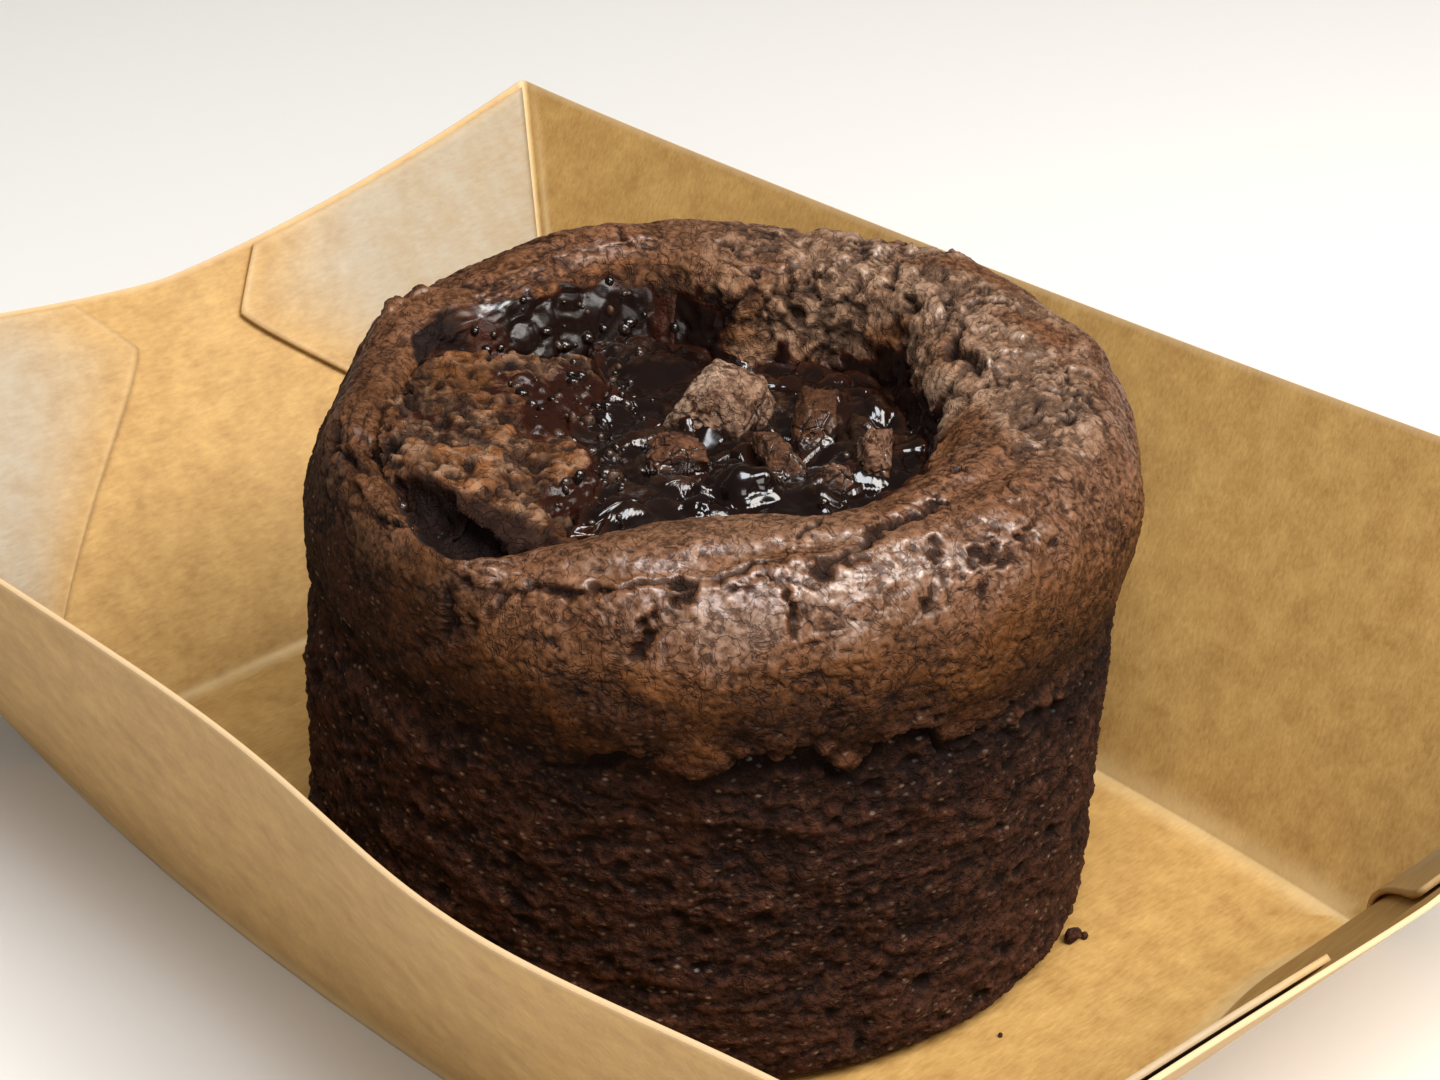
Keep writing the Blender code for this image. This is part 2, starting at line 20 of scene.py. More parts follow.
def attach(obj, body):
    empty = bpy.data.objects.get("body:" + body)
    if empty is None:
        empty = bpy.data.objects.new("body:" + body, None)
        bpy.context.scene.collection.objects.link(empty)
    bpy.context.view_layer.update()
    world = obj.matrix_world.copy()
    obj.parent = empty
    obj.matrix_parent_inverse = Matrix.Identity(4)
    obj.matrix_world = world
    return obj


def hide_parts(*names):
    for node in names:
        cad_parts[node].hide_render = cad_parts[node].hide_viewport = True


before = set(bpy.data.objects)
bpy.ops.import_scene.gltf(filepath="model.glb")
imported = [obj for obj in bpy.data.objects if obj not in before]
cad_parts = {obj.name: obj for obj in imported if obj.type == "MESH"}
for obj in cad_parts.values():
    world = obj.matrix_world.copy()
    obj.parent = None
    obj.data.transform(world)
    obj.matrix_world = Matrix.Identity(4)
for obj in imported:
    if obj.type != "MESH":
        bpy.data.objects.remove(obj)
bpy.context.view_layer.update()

MM = 0.001
BODY = "root"
BOARD = 0.5                    # thickness of the tray's paperboard
GAP = 0.3                      # clearance under the souffle
CAKE_TURN = math.radians(45.0)
CAKE_X = 3.0                   # the souffle's axis, along the tray's length
MELT_LEVEL = 49.0              # mean level of the molten chocolate
LEAN = 0.035                   # sideways drift of the souffle's axis for each millimetre of height
BUMP_M = 0.0005                # how high a finish's bumps stand, in metres

Array = np.ndarray
Masks = dict[str, np.ndarray]
Material = bpy.types.Material
Mesh = bpy.types.Mesh
NodeTree = bpy.types.NodeTree
Socket = bpy.types.NodeSocket

log = logging.getLogger("souffle")


class Slot(Enum):
    """The record's material slots."""

    BOARD = "kraft_board"
    BAKED = "souffle_crumb"
    TORN = "torn_crumb"
    MOLTEN = "molten_chocolate"


# Number helpers

def smooth(low: float, high: float, value: Array) -> Array:
    """0 below low, 1 above high, and an S-curve between them; low may be the larger."""
    t = np.clip((np.asarray(value, float) - low) / (high - low), 0.0, 1.0)
    return t * t * (3.0 - 2.0 * t)


def bell(value: Array, width: float) -> Array:
    """1 where value is 0, falling off to about a third at width and to nothing at twice that."""
    return np.exp(-(np.asarray(value, float) / width) ** 2)


def between(value: Array, start: float, full: float, fading: float, end: float) -> Array:
    """1 from full to fading and 0 outside start and end, with an S-curve on either side."""
    return smooth(start, full, value) * smooth(end, fading, value)


def round_curve(knots: tuple, degrees: Array) -> Array:
    """A closed Catmull-Rom curve through (degrees, value) knots.

    Args:
        knots: pairs of degrees, in rising order, and value.
        degrees: where to read the curve.

    Returns:
        The curve's value at each of the degrees.
    """
    at = np.array([k[0] for k in knots], float)
    value = np.array([k[1] for k in knots], float)
    count = len(at)
    degrees = np.mod(degrees, 360.0)
    i = (np.searchsorted(at, degrees, side="right") - 1) % count
    span = np.mod(np.roll(at, -1) - at, 360.0)
    t = np.mod(degrees - at[i], 360.0) / span[i]
    a, b, c, d = (value[(i + k) % count] for k in (-1, 0, 1, 2))
    return b + 0.5 * t * (c - a + t * (2 * a - 5 * b + 4 * c - d + t * (3 * (b - c) + d - a)))


def hashed(corner: Array, salt: int) -> Array:
    """A fixed random number for each corner of a lattice.

    Args:
        corner: whole-numbered places (..., 3).
        salt: which numbers.

    Returns:
        A number from 0 to 1 for each corner.
    """
    x, y, z = np.moveaxis(corner, -1, 0)
    code = (x * 73856093) ^ (y * 19349663) ^ (z * 83492791) ^ (salt * 374761393)
    code = (code ^ (code >> 13)) * 1274126177 & 0xFFFFFFFF
    return ((code ^ (code >> 16)) & 0xFFFF) / 65535.0


def lattice_noise(points: Array, cell: float, seed: int) -> Array:
    """Smooth noise from -1 to 1: random values on a cubic lattice, blended between its corners.

    Args:
        points: places (..., 3).
        cell: side of the lattice's cubes.
        seed: which lattice.

    Returns:
        The noise at each place.
    """
    place = np.asarray(points, float) / cell
    corner = np.floor(place).astype(np.int64)
    share = place - corner
    share = share * share * (3.0 - 2.0 * share)
    total = np.zeros(place.shape[:-1])
    for offset in np.ndindex(2, 2, 2):
        weight = np.abs(np.prod(1.0 - np.array(offset) - share, axis=-1))
        total += weight * (2.0 * hashed(corner + np.array(offset), seed) - 1.0)
    return total


def fractal(points: Array, cell: float, octaves: int, seed: int) -> Array:
    """Lattice noise added to itself at half the size and half the strength, turned each time.

    Args:
        points: places (..., 3).
        cell: size of the largest lumps.
        octaves: how many sizes.
        seed: which noise.

    Returns:
        Noise from about -1 to 1.
    """
    turn = np.array([[0.36, 0.48, -0.8], [-0.8, 0.6, 0.0], [0.48, 0.64, 0.6]])
    total, strength, whole = np.zeros(np.shape(points)[:-1]), 1.0, 0.0
    for octave in range(octaves):
        points = points @ turn
        total += strength * lattice_noise(points, cell / 2 ** octave, seed + 7 * octave)
        whole += strength
        strength *= 0.5
    return total / whole * 1.4


def drift(points: Array, cell: float, seed: int) -> Array:
    """Three noises as one vector at each place, which push a pattern about."""
    return np.stack([fractal(points, cell, 2, seed + k) for k in range(3)], axis=-1)


class Cells:
    """Space split into uneven cells round one random seed point in each lattice cube."""

    def __init__(self, points: Array, cell: float, seed: int) -> None:
        """Finds the distances to the nearest and the next seed point, in cell widths.

        Each cell also has a random number of its own, from 0 to 1.

        Args:
            points: places (..., 3).
            cell: mean width of a cell.
            seed: which cells.
        """
        place = np.asarray(points, float) / cell
        corner = np.floor(place).astype(np.int64)
        near = np.full(place.shape[:-1], np.inf)
        beyond = near.copy()
        own = np.zeros_like(near)
        for offset in np.ndindex(3, 3, 3):
            home = corner + (np.array(offset) - 1)
            spot = home + np.stack([hashed(home, seed + k) for k in range(3)], axis=-1)
            gap = np.sqrt(((place - spot) ** 2).sum(axis=-1))
            closer = gap < near
            beyond = np.where(closer, near, np.minimum(beyond, gap))
            own = np.where(closer, hashed(home, seed + 5), own)
            near = np.where(closer, gap, near)
        self.near, self.beyond, self.own = near, beyond, own

    def lumps(self, rise: float, step: float = 0.0, level: float = 0.55) -> Array:
        """Rounded lumps of this rise, whose surface is level at this distance, each stepped up or down."""
        return rise * (level - self.near) + step * (self.own - 0.5)

    def split(self, width: float) -> Array:
        """1 on the lines between the cells, fading within this width."""
        return bell(self.beyond - self.near, width)


def line_distance(x: Array, y: Array, points: tuple) -> Array:
    """How far places are from a line, as the least distance from any of its straight parts.

    Args:
        x: places across.
        y: places away.
        points: the line's (x, y) points.

    Returns:
        The distance of each place.
    """
    nearest = np.full(np.shape(x), np.inf)
    for (ax, ay), (bx, by) in zip(points, points[1:]):
        ux, uy = bx - ax, by - ay
        t = np.clip(((x - ax) * ux + (y - ay) * uy) / (ux * ux + uy * uy), 0.0, 1.0)
        nearest = np.minimum(nearest, np.hypot(x - ax - t * ux, y - ay - t * uy))
    return nearest


def to_world(points: Array) -> Array:
    """Turns places by CAKE_TURN and stands them on the tray's floor.

    Args:
        points: places in the souffle's own frame (..., 3).

    Returns:
        The same places in the world.
    """
    c, s = math.cos(CAKE_TURN), math.sin(CAKE_TURN)
    x, y, z = np.moveaxis(points, -1, 0)
    return np.stack([CAKE_X + c * x - s * y, s * x + c * y, z + BOARD + GAP], axis=-1)


# Mesh helpers

def grid_faces(rows: int, columns: int, wrap_rows: bool = False, wrap_columns: bool = True) -> Array:
    """The quads of a grid of vertices numbered row by row.

    Args:
        rows: how many rows.
        columns: how many columns.
        wrap_rows: whether the last row joins the first.
        wrap_columns: whether the last column joins the first.

    Returns:
        The quads' corners (n, 4).
    """
    row = np.arange(rows if wrap_rows else rows - 1)[:, None]
    column = np.arange(columns if wrap_columns else columns - 1)[None, :]
    after = (column + 1) % columns
    here, below = row * columns, (row + 1) % rows * columns
    return np.stack([here + column, below + column, below + after, here + after], axis=-1).reshape(-1, 4)


def fan_faces(first: int, columns: int, pole: int, upwards: bool) -> Array:
    """The triangles between a pole and a closed row.

    Args:
        first: the row's first vertex.
        columns: the row's length.
        pole: the pole's vertex.
        upwards: whether the pole comes before the row.

    Returns:
        The triangles' corners (n, 3).
    """
    here = first + np.arange(columns)
    after = first + (np.arange(columns) + 1) % columns
    pair = (here, after) if upwards else (after, here)
    return np.stack([np.full(columns, pole), *pair], axis=-1)


def capped_faces(rows: int, columns: int) -> list[Array]:
    """A grid's quads, and the triangles round the two poles numbered after it, which close its ends."""
    return [grid_faces(rows, columns), fan_faces(0, columns, rows * columns, True),
            fan_faces((rows - 1) * columns, columns, rows * columns + 1, False)]


def ball(rows: int, columns: int) -> Array:
    """Directions all round a point, from pole to pole with the poles left out.

    Args:
        rows: how many rings.
        columns: how many directions on each.

    Returns:
        Unit directions (rows, columns, 3).
    """
    down = (np.arange(rows) + 0.5) * math.pi / rows
    turn = np.linspace(0.0, 2 * math.pi, columns, endpoint=False)
    return np.stack([np.outer(np.sin(down), np.cos(turn)), np.outer(np.sin(down), np.sin(turn)),
                     np.outer(np.cos(down), np.ones_like(turn))], axis=-1)


def make_mesh(name: str, points: Array, faces: list[Array]) -> Mesh:
    """A smooth mesh from arrays.

    Args:
        name: the mesh's name.
        points: places in the world, in millimetres (n, 3).
        faces: arrays of faces with three or four corners.

    Returns:
        The mesh, in metres.
    """
    mesh = bpy.data.meshes.new(name)
    mesh.vertices.add(len(points))
    mesh.vertices.foreach_set("co", (points * MM).astype(np.float32).ravel())
    corners = np.concatenate([f.ravel() for f in faces])
    sizes = np.concatenate([np.full(len(f), f.shape[1]) for f in faces])
    mesh.loops.add(len(corners))
    mesh.loops.foreach_set("vertex_index", corners.astype(np.int32))
    mesh.polygons.add(len(sizes))
    mesh.polygons.foreach_set("loop_start", (np.cumsum(sizes) - sizes).astype(np.int32))
    mesh.update(calc_edges=True)
    mesh.shade_smooth()
    return mesh


def set_masks(mesh: Mesh, masks: Masks) -> None:
    """Stores each mask as a float attribute of the mesh's vertices.

    Args:
        mesh: the mesh.
        masks: values from 0 to 1 in the vertices' order, by name.
    """
    for name, values in masks.items():
        layer = mesh.attributes.new(name, "FLOAT", "POINT")
        layer.data.foreach_set("value", np.clip(values, 0.0, 1.0).astype(np.float32).ravel())


def sharpen_rows(mesh: Mesh, rows: tuple[int, ...], columns: int) -> None:
    """Shades both sides of some rows' edges apart, where a closed piece turns inwards.

    Args:
        mesh: a mesh numbered row by row.
        rows: which rows.
        columns: the length of a row.
    """
    flagged = np.zeros(len(mesh.vertices), bool)
    for row in rows:
        flagged[row * columns:(row + 1) * columns] = True
    ends = np.empty(len(mesh.edges) * 2, np.int32)
    mesh.edges.foreach_get("vertices", ends)
    layer = mesh.attributes.get("sharp_edge") or mesh.attributes.new("sharp_edge", "BOOLEAN", "EDGE")
    layer.data.foreach_set("value", flagged[ends.reshape(-1, 2)].all(axis=1))


def closed_mesh(name: str, place: Array, masks: Masks, poles: Array | None = None,
                seams: tuple[int, ...] = ()) -> Mesh:
    """A closed mesh from rows of places, each closed on itself.

    Args:
        name: the mesh's name.
        place: the places in the world (rows, columns, 3).
        masks: the finish's masks there (rows, columns).
        poles: the places (2, 3) that close the first and last rows; without them those rows join each other.
        seams: the rows where the piece turns inwards.

    Returns:
        The mesh.
    """
    rows, columns = place.shape[:2]
    points, layers = place.reshape(-1, 3), masks
    if poles is None:
        faces = [grid_faces(rows, columns, wrap_rows=True)]
    else:
        faces = capped_faces(rows, columns)
        points = np.concatenate([points, poles])
        layers = {n: np.concatenate([m.ravel(), m[0, :1], m[-1, :1]]) for n, m in masks.items()}
    mesh = make_mesh(name, points, faces)
    set_masks(mesh, layers)
    if seams:
        sharpen_rows(mesh, seams, columns)
    return mesh


def add_piece(mesh: Mesh, material: Material, slot: Slot, *nodes: str) -> bpy.types.Object:
    """Puts a finished mesh in the scene as a piece that rides on the tray.

    Args:
        mesh: the piece's mesh, whose name it takes.
        material: its finish.
        slot: the record's slot that the finish stands for; not used.
        *nodes: the CAD nodes that the piece replaces, if any.

    Returns:
        The piece's object.
    """
    piece = bpy.data.objects.new(mesh.name, mesh)
    bpy.context.scene.collection.objects.link(piece)
    mesh.materials.append(material)
    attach(piece, BODY)
    if nodes:
        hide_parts(*nodes)
    log.info("%s: %d faces", piece.name, len(mesh.polygons))
    return piece


# Finishes

class Tree:
    """A node tree, with short calls that add nodes and link them."""

    def __init__(self, tree: NodeTree) -> None:
        """Keeps the tree to add to."""
        self.tree = tree

    def put(self, socket: Socket, value: object) -> None:
        """Links a socket to an input, or sets its value.

        Args:
            socket: the input.
            value: a socket or a plain value.
        """
        if isinstance(value, Socket):
            self.tree.links.new(value, socket)
        else:
            socket.default_value = value

    def add(self, kind: str, settings: dict | None = None, **inputs: object) -> bpy.types.Node:
        """Adds a node.

        Args:
            kind: the node's type, without its ShaderNode prefix.
            settings: the node's own properties.
            **inputs: values or sockets for its inputs, with underscores for spaces, or _0, _1 for places.

        Returns:
            The node.
        """
        node = self.tree.nodes.new("ShaderNode" + kind)
        for name, value in (settings or {}).items():
            setattr(node, name, value)
        for name, value in inputs.items():
            place = int(name[1:]) if name[1:].isdigit() else name.replace("_", " ")
            self.put(node.inputs[place], value)
        return node

    def mask(self, name: str) -> Socket:
        """A float attribute of the mesh."""
        return self.add("Attribute", {"attribute_name": name}).outputs["Fac"]

    def place(self) -> Socket:
        """Object coordinates."""
        return self.add("TexCoord").outputs["Object"]

    def noise(self, vector: object, scale: object, detail: float = 3.0, warp: float = 0.0) -> Socket:
        """Noise from about 0 to 1, with lumps of 1 / scale metres."""
        return self.add("TexNoise", Vector=vector, Scale=scale, Detail=detail, Distortion=warp).outputs["Fac"]

    def math(self, operation: str, *values: object) -> Socket:
        """Adds a Math node.

        Args:
            operation: what it does; with _CLAMP at the end the result is held from 0 to 1.
            *values: sockets or plain values.

        Returns:
            Its output.
        """
        clamped = operation.endswith("_CLAMP")
        node = self.add("Math", {"operation": operation.removesuffix("_CLAMP"), "use_clamp": clamped})
        for socket, value in zip(node.inputs, values):
            self.put(socket, value)
        return node.outputs[0]

    def times(self, first: object, second: object) -> Socket:
        """Two values multiplied."""
        return self.math("MULTIPLY", first, second)

    def remap(self, value: object, low: float, high: float, to_low: float = 0.0,
              to_high: float = 1.0) -> Socket:
        """A value moved from the range low to high into the range to_low to to_high, and held there."""
        node = self.add("MapRange", {"clamp": True}, _0=value, _1=low, _2=high, _3=to_low, _4=to_high)
        return node.outputs[0]

    def blend(self, share: object, first: object, second: object) -> Socket:
        """Mixes two colours."""
        return self.add("Mix", {"data_type": "RGBA"}, _0=share, _6=first, _7=second).outputs[2]

    def bump(self, height: object, strength: float, rise_m: float = BUMP_M) -> Socket:
        """The normal of bumps of this height."""
        return self.add("Bump", Height=height, Strength=strength, Distance=rise_m).outputs["Normal"]

    def group(self, shared: NodeTree, **inputs: object) -> bpy.types.Node:
        """Places a shared node group with its own values.

        Args:
            shared: the group.
            **inputs: sockets or plain values for its inputs.

        Returns:
            The group's node.
        """
        node = self.tree.nodes.new("ShaderNodeGroup")
        node.node_tree = shared
        for name, value in inputs.items():
            self.put(node.inputs[name], value)
        return node


def new_group(name: str, inputs: dict[str, float | None],
              outputs: tuple[str, ...]) -> tuple[Tree, dict, dict]:
    """A new shared node group.

    Args:
        name: the group's name.
        inputs: each input's value; None makes it a vector.
        outputs: the names of its outputs, all of them values.

    Returns:
        The group's tree, its inputs' sockets and its outputs' sockets, by name.
    """
    shared = bpy.data.node_groups.new(name, "ShaderNodeTree")
    for label, value in inputs.items():
        kind = "NodeSocketVector" if value is None else "NodeSocketFloat"
        socket = shared.interface.new_socket(label, in_out="INPUT", socket_type=kind)
        if value is not None:
            socket.default_value = value
    for label in outputs:
        shared.interface.new_socket(label, in_out="OUTPUT", socket_type="NodeSocketFloat")
    entry, leave = shared.nodes.new("NodeGroupInput"), shared.nodes.new("NodeGroupOutput")
    return Tree(shared), {n: entry.outputs[n] for n in inputs}, {n: leave.inputs[n] for n in outputs}


def crumb_grain_group() -> NodeTree:
    """Open crumb: fine lumps with pores and thin wrinkles between them, and the odd bright sugar fleck.

    The pores are small rounded cells, and a wrinkle runs wherever a slower noise crosses its middle. Height
    is the grain less both, Shade the same with more contrast, and Fleck is up to 1 on a few flat cells.

    Returns:
        The group.
    """
    defaults = {"Vector": None, "Scale": 900.0, "Pores": 0.5, "Wrinkles": 0.5}
    tree, given, out = new_group("crumb_grain", defaults, ("Height", "Shade", "Fleck"))
    where, scale = given["Vector"], given["Scale"]
    grain = tree.add("TexNoise", Vector=where, Scale=scale, Detail=6.0, Roughness=0.66)
    pores = tree.add("TexVoronoi", Vector=where, Scale=scale, Randomness=1.0)
    dug = tree.times(tree.remap(pores.outputs["Distance"], 0.05, 0.45, 1.0, 0.0), given["Pores"])
    bend = tree.noise(where, tree.times(scale, 0.45), 3.0, 0.8)
    off_middle = tree.math("ABSOLUTE", tree.math("SUBTRACT", bend, 0.5))
    line = tree.times(tree.remap(off_middle, 0.004, 0.034, 1.0, 0.0), given["Wrinkles"])
    cut = tree.math("ADD", dug, line)
    tree.put(out["Height"], tree.math("SUBTRACT", grain.outputs["Fac"], tree.times(cut, 0.6)))
    contrast = tree.remap(grain.outputs["Fac"], 0.34, 0.66)
    tree.put(out["Shade"], tree.math("SUBTRACT_CLAMP", contrast, tree.times(cut, 0.6)))
    flat = tree.add("Mapping", Vector=where, Scale=(0.75, 0.75, 1.35)).outputs[0]
    flecks = tree.add("TexVoronoi", Vector=flat, Scale=scale, Randomness=1.0)
    near = tree.remap(flecks.outputs["Distance"], 0.10, 0.34, 1.0, 0.0)
    chosen = tree.add("SeparateColor", Color=flecks.outputs["Color"]).outputs[0]
    tree.put(out["Fleck"], tree.times(near, tree.remap(chosen, 0.50, 0.92)))
    return tree.tree


def paper_fibre_group() -> NodeTree:
    """Kraft pulp: cloudy patches a few millimetres wide, and short fibres that cross each other.

    Cloud is the patches, Fibre is fine noise stretched along two directions, and Height is their bump.

    Returns:
        The group.
    """
    tree, given, out = new_group("paper_fibre", {"Vector": None, "Scale": 1.0}, ("Cloud", "Fibre", "Height"))
    scaled = tree.add("VectorMath", {"operation": "SCALE"}, Vector=given["Vector"], Scale=given["Scale"])
    where = scaled.outputs[0]
    cloud = tree.add("TexNoise", Vector=where, Scale=260.0, Detail=4.0, Roughness=0.6).outputs["Fac"]
    fibres = []
    for turn, stretch in ((0.5, (3.2, 0.7, 1.6)), (2.2, (2.8, 0.6, 1.4))):
        turned = tree.add("Mapping", Vector=where, Rotation=(0.0, 0.3, turn), Scale=stretch).outputs[0]
        strands = tree.add("TexNoise", Vector=turned, Scale=900.0, Detail=3.0, Roughness=0.65)
        fibres.append(strands.outputs["Fac"])
    fibre = tree.times(tree.math("ADD", *fibres), 0.5)
    tree.put(out["Cloud"], cloud)
    tree.put(out["Fibre"], fibre)
    tree.put(out["Height"], tree.math("ADD", fibre, tree.times(cloud, 0.6)))
    return tree.tree


@dataclass(frozen=True)
class Finish:
    """What every finish has: a name, and a material whose nodes its own dress method adds."""

    name: str

    def material(self) -> Material:
        """Makes a material with this finish.

        Returns:
            The material.
        """
        material = bpy.data.materials.new(self.name)
        material.use_nodes = True
        tree = Tree(material.node_tree)
        shader = material.node_tree.nodes["Principled BSDF"]
        for name, value in self.dress(tree).items():
            tree.put(shader.inputs[name], value)
        return material

    def dress(self, tree: Tree) -> dict[str, object]:
        """Adds this finish's own nodes to the tree, and returns the shader's inputs by name."""
        raise NotImplementedError


@dataclass(frozen=True)
class BakedFinish(Finish):
    """Baked chocolate crumb, from the dark open side through the satin crust to the glazed hollow.

    Its masks are vertex attributes: crust is the baked skin, high its paler part, darkened on the left by
    painted shade, sheen where it shines, crease painted shade in cracks, pores, gaps and crevices, grey the
    broken crumb and a painted highlight on the front shoulder, amber the tinted patches, glaze the wet
    chocolate, and lift painted light, which lightens raised places, and the side on the right and at its
    foot.
    """

    grain: NodeTree
    grain_scale: float = 1150.0
    mottle_scale: float = 120.0
    specular: float = 0.16
    satin: float = 1.0                  # coat on the crust's skin
    wet: float = 0.9                    # coat on the glaze
    fleck_coat: float = 0.5
    coat_roughness: float = 0.37
    coat_ior: float = 1.9
    crumb_roughness: float = 0.9
    skin_roughness: float = 0.6
    glaze_roughness: float = 0.24
    relief: float = 0.85
    side_dark: tuple = (0.0095, 0.0032, 0.0022, 1.0)
    side_light: tuple = (0.076, 0.0275, 0.0138, 1.0)
    side_warm: tuple = (0.058, 0.0180, 0.0058, 1.0)
    crust_low_dark: tuple = (0.022, 0.0075, 0.0023, 1.0)
    crust_dark: tuple = (0.046, 0.0155, 0.0050, 1.0)
    crust_low: tuple = (0.118, 0.0430, 0.0110, 1.0)
    crust_light: tuple = (0.310, 0.1280, 0.0510, 1.0)
    amber: tuple = (0.125, 0.0430, 0.0080, 1.0)
    # grey: the broken crumb's colour, and also that of the painted highlight on the front shoulder.
    grey: tuple = (0.360, 0.2300, 0.1500, 1.0)
    # crease: the colour of painted shade in cracks, pores, gaps and crevices.
    crease: tuple = (0.0085, 0.0028, 0.0016, 1.0)
    syrup: tuple = (0.040, 0.0100, 0.0042, 1.0)
    chocolate: tuple = (0.0080, 0.0032, 0.0022, 1.0)
    fleck: tuple = (0.230, 0.150, 0.1050, 1.0)

    def dress(self, tree: Tree) -> dict[str, object]:
        """Side and crust colours by height, grain and painted light, then tints, painted shade in creases,
        and glaze.

        Args:
            tree: the material's nodes.

        Returns:
            The shader's inputs by name.
        """
        where = tree.place()
        crust, lift, glaze = tree.mask("crust"), tree.mask("lift"), tree.mask("glaze")
        crumb = tree.group(self.grain, Vector=where, Scale=self.grain_scale, Pores=0.6, Wrinkles=0.45)
        skin = tree.group(self.grain, Vector=where, Scale=self.grain_scale, Pores=0.15, Wrinkles=0.65)
        mottle = tree.noise(where, self.mottle_scale)
        # Painted light through the lift mask: raised places, and the side's right and foot, come out lighter.
        side_tone = tree.math("ADD_CLAMP", tree.remap(crumb.outputs["Shade"], 0.10, 0.90, 0.0, 0.60),
                              tree.remap(lift, 0.35, 0.85, -0.20, 0.50))
        side = tree.blend(side_tone, self.side_dark, self.side_light)
        side = tree.blend(tree.remap(mottle, 0.46, 0.72, 0.0, 0.5), side, self.side_warm)
        fleck = tree.times(crumb.outputs["Fleck"], tree.remap(crust, 0.2, 0.8, 1.0, 0.0))
        side = tree.blend(tree.times(fleck, 0.65), side, self.fleck)
        # Painted light through the lift mask lightens the crust's raised places too.
        crust_tone = tree.math("ADD_CLAMP", tree.remap(skin.outputs["Shade"], 0.05, 0.90, 0.06, 0.66),
                               tree.remap(lift, 0.30, 0.80, -0.34, 0.44))
        # The high mask carries the crust's tone, with painted shade on its left.
        high = tree.mask("high")
        top = tree.blend(crust_tone, tree.blend(high, self.crust_low_dark, self.crust_dark),
                         tree.blend(high, self.crust_low, self.crust_light))
        top = tree.blend(tree.remap(mottle, 0.50, 0.74, 0.0, 0.55), top, self.amber)
        top = tree.blend(tree.times(tree.mask("amber"), 0.8), top, self.amber)
        # The grey mask: broken crumb, and the painted highlight on the front shoulder.
        top = tree.blend(tree.times(tree.mask("grey"), tree.remap(crust_tone, 0.1, 0.8, 0.25, 0.95)), top,
                         self.grey)
        colour = tree.blend(crust, side, top)
        # Painted shade in cracks, pores, gaps and crevices.
        colour = tree.blend(tree.mask("crease"), colour, self.crease)
        colour = tree.blend(tree.remap(glaze, 0.05, 0.5), colour, self.syrup)
        colour = tree.blend(tree.remap(glaze, 0.5, 0.95), colour, self.chocolate)
        rough = tree.remap(crust, 0.15, 0.9, self.crumb_roughness, self.skin_roughness)
        wetness = tree.remap(glaze, 0.15, 0.7)
        rough = tree.add("Mix", {"data_type": "FLOAT"}, _0=wetness, _2=rough, _3=self.glaze_roughness)
        ridges = tree.times(tree.remap(crust_tone, 0.15, 0.75, 0.15, 1.0),
                            tree.remap(tree.mask("crease"), 0.1, 0.6, 1.0, 0.0))
        coat = tree.times(tree.times(tree.mask("sheen"), self.satin), ridges)
        coat = tree.math("MAXIMUM", coat, tree.times(wetness, self.wet))
        coat = tree.math("MAXIMUM", coat, tree.times(fleck, self.fleck_coat))
        coarse = tree.times(crumb.outputs["Height"], tree.remap(crust, 0.0, 1.0, 1.0, 0.3))
        height = tree.math("ADD", coarse, tree.times(skin.outputs["Height"], 0.55))
        height = tree.times(height, tree.remap(glaze, 0.2, 0.8, 1.0, 0.06))
        return {"Base Color": colour, "Roughness": rough.outputs[0], "Coat Weight": coat,
                "Coat Roughness": self.coat_roughness, "Coat IOR": self.coat_ior,
                "Specular IOR Level": self.specular, "Normal": tree.bump(height, self.relief)}


@dataclass(frozen=True)
class MoltenFinish(Finish):
    """Wet dark chocolate, redder and lighter where it is thin, with dissolving crumb in it.

    Its masks are thin and crumb.
    """

    grain: NodeTree
    grain_scale: float = 1100.0
    swirl_scale: float = 260.0
    specular: float = 0.3
    coat_roughness: float = 0.08
    relief: float = 0.5
    deep: tuple = (0.0065, 0.0026, 0.0017, 1.0)
    thin: tuple = (0.040, 0.0100, 0.0036, 1.0)
    crumb: tuple = (0.085, 0.0370, 0.0170, 1.0)

    def dress(self, tree: Tree) -> dict[str, object]:
        """A dark base that thins to syrup, crumb showing through, and a near-mirror wet coat.

        Args:
            tree: the material's nodes.

        Returns:
            The shader's inputs by name.
        """
        where = tree.place()
        grain = tree.group(self.grain, Vector=where, Scale=self.grain_scale, Pores=0.4, Wrinkles=0.3)
        swirl = tree.noise(where, self.swirl_scale, 2.0, 0.4)
        thin = tree.times(tree.mask("thin"), tree.remap(swirl, 0.35, 0.65, 0.4, 1.0))
        colour = tree.blend(thin, self.deep, self.thin)
        crumb = tree.times(tree.mask("crumb"), tree.remap(grain.outputs["Shade"], 0.1, 0.8, 0.2, 1.0))
        sponge = tree.times(grain.outputs["Height"], tree.remap(crumb, 0.0, 1.0, 0.01, 0.8))
        height = tree.math("ADD", tree.times(swirl, 0.25), sponge)
        return {"Base Color": tree.blend(crumb, colour, self.crumb),
                "Roughness": tree.remap(crumb, 0.1, 0.8, 0.15, 0.5),
                "Coat Weight": tree.remap(crumb, 0.2, 0.9, 0.60, 0.25), "Coat Roughness": self.coat_roughness,
                "Specular IOR Level": self.specular, "Normal": tree.bump(height, self.relief)}


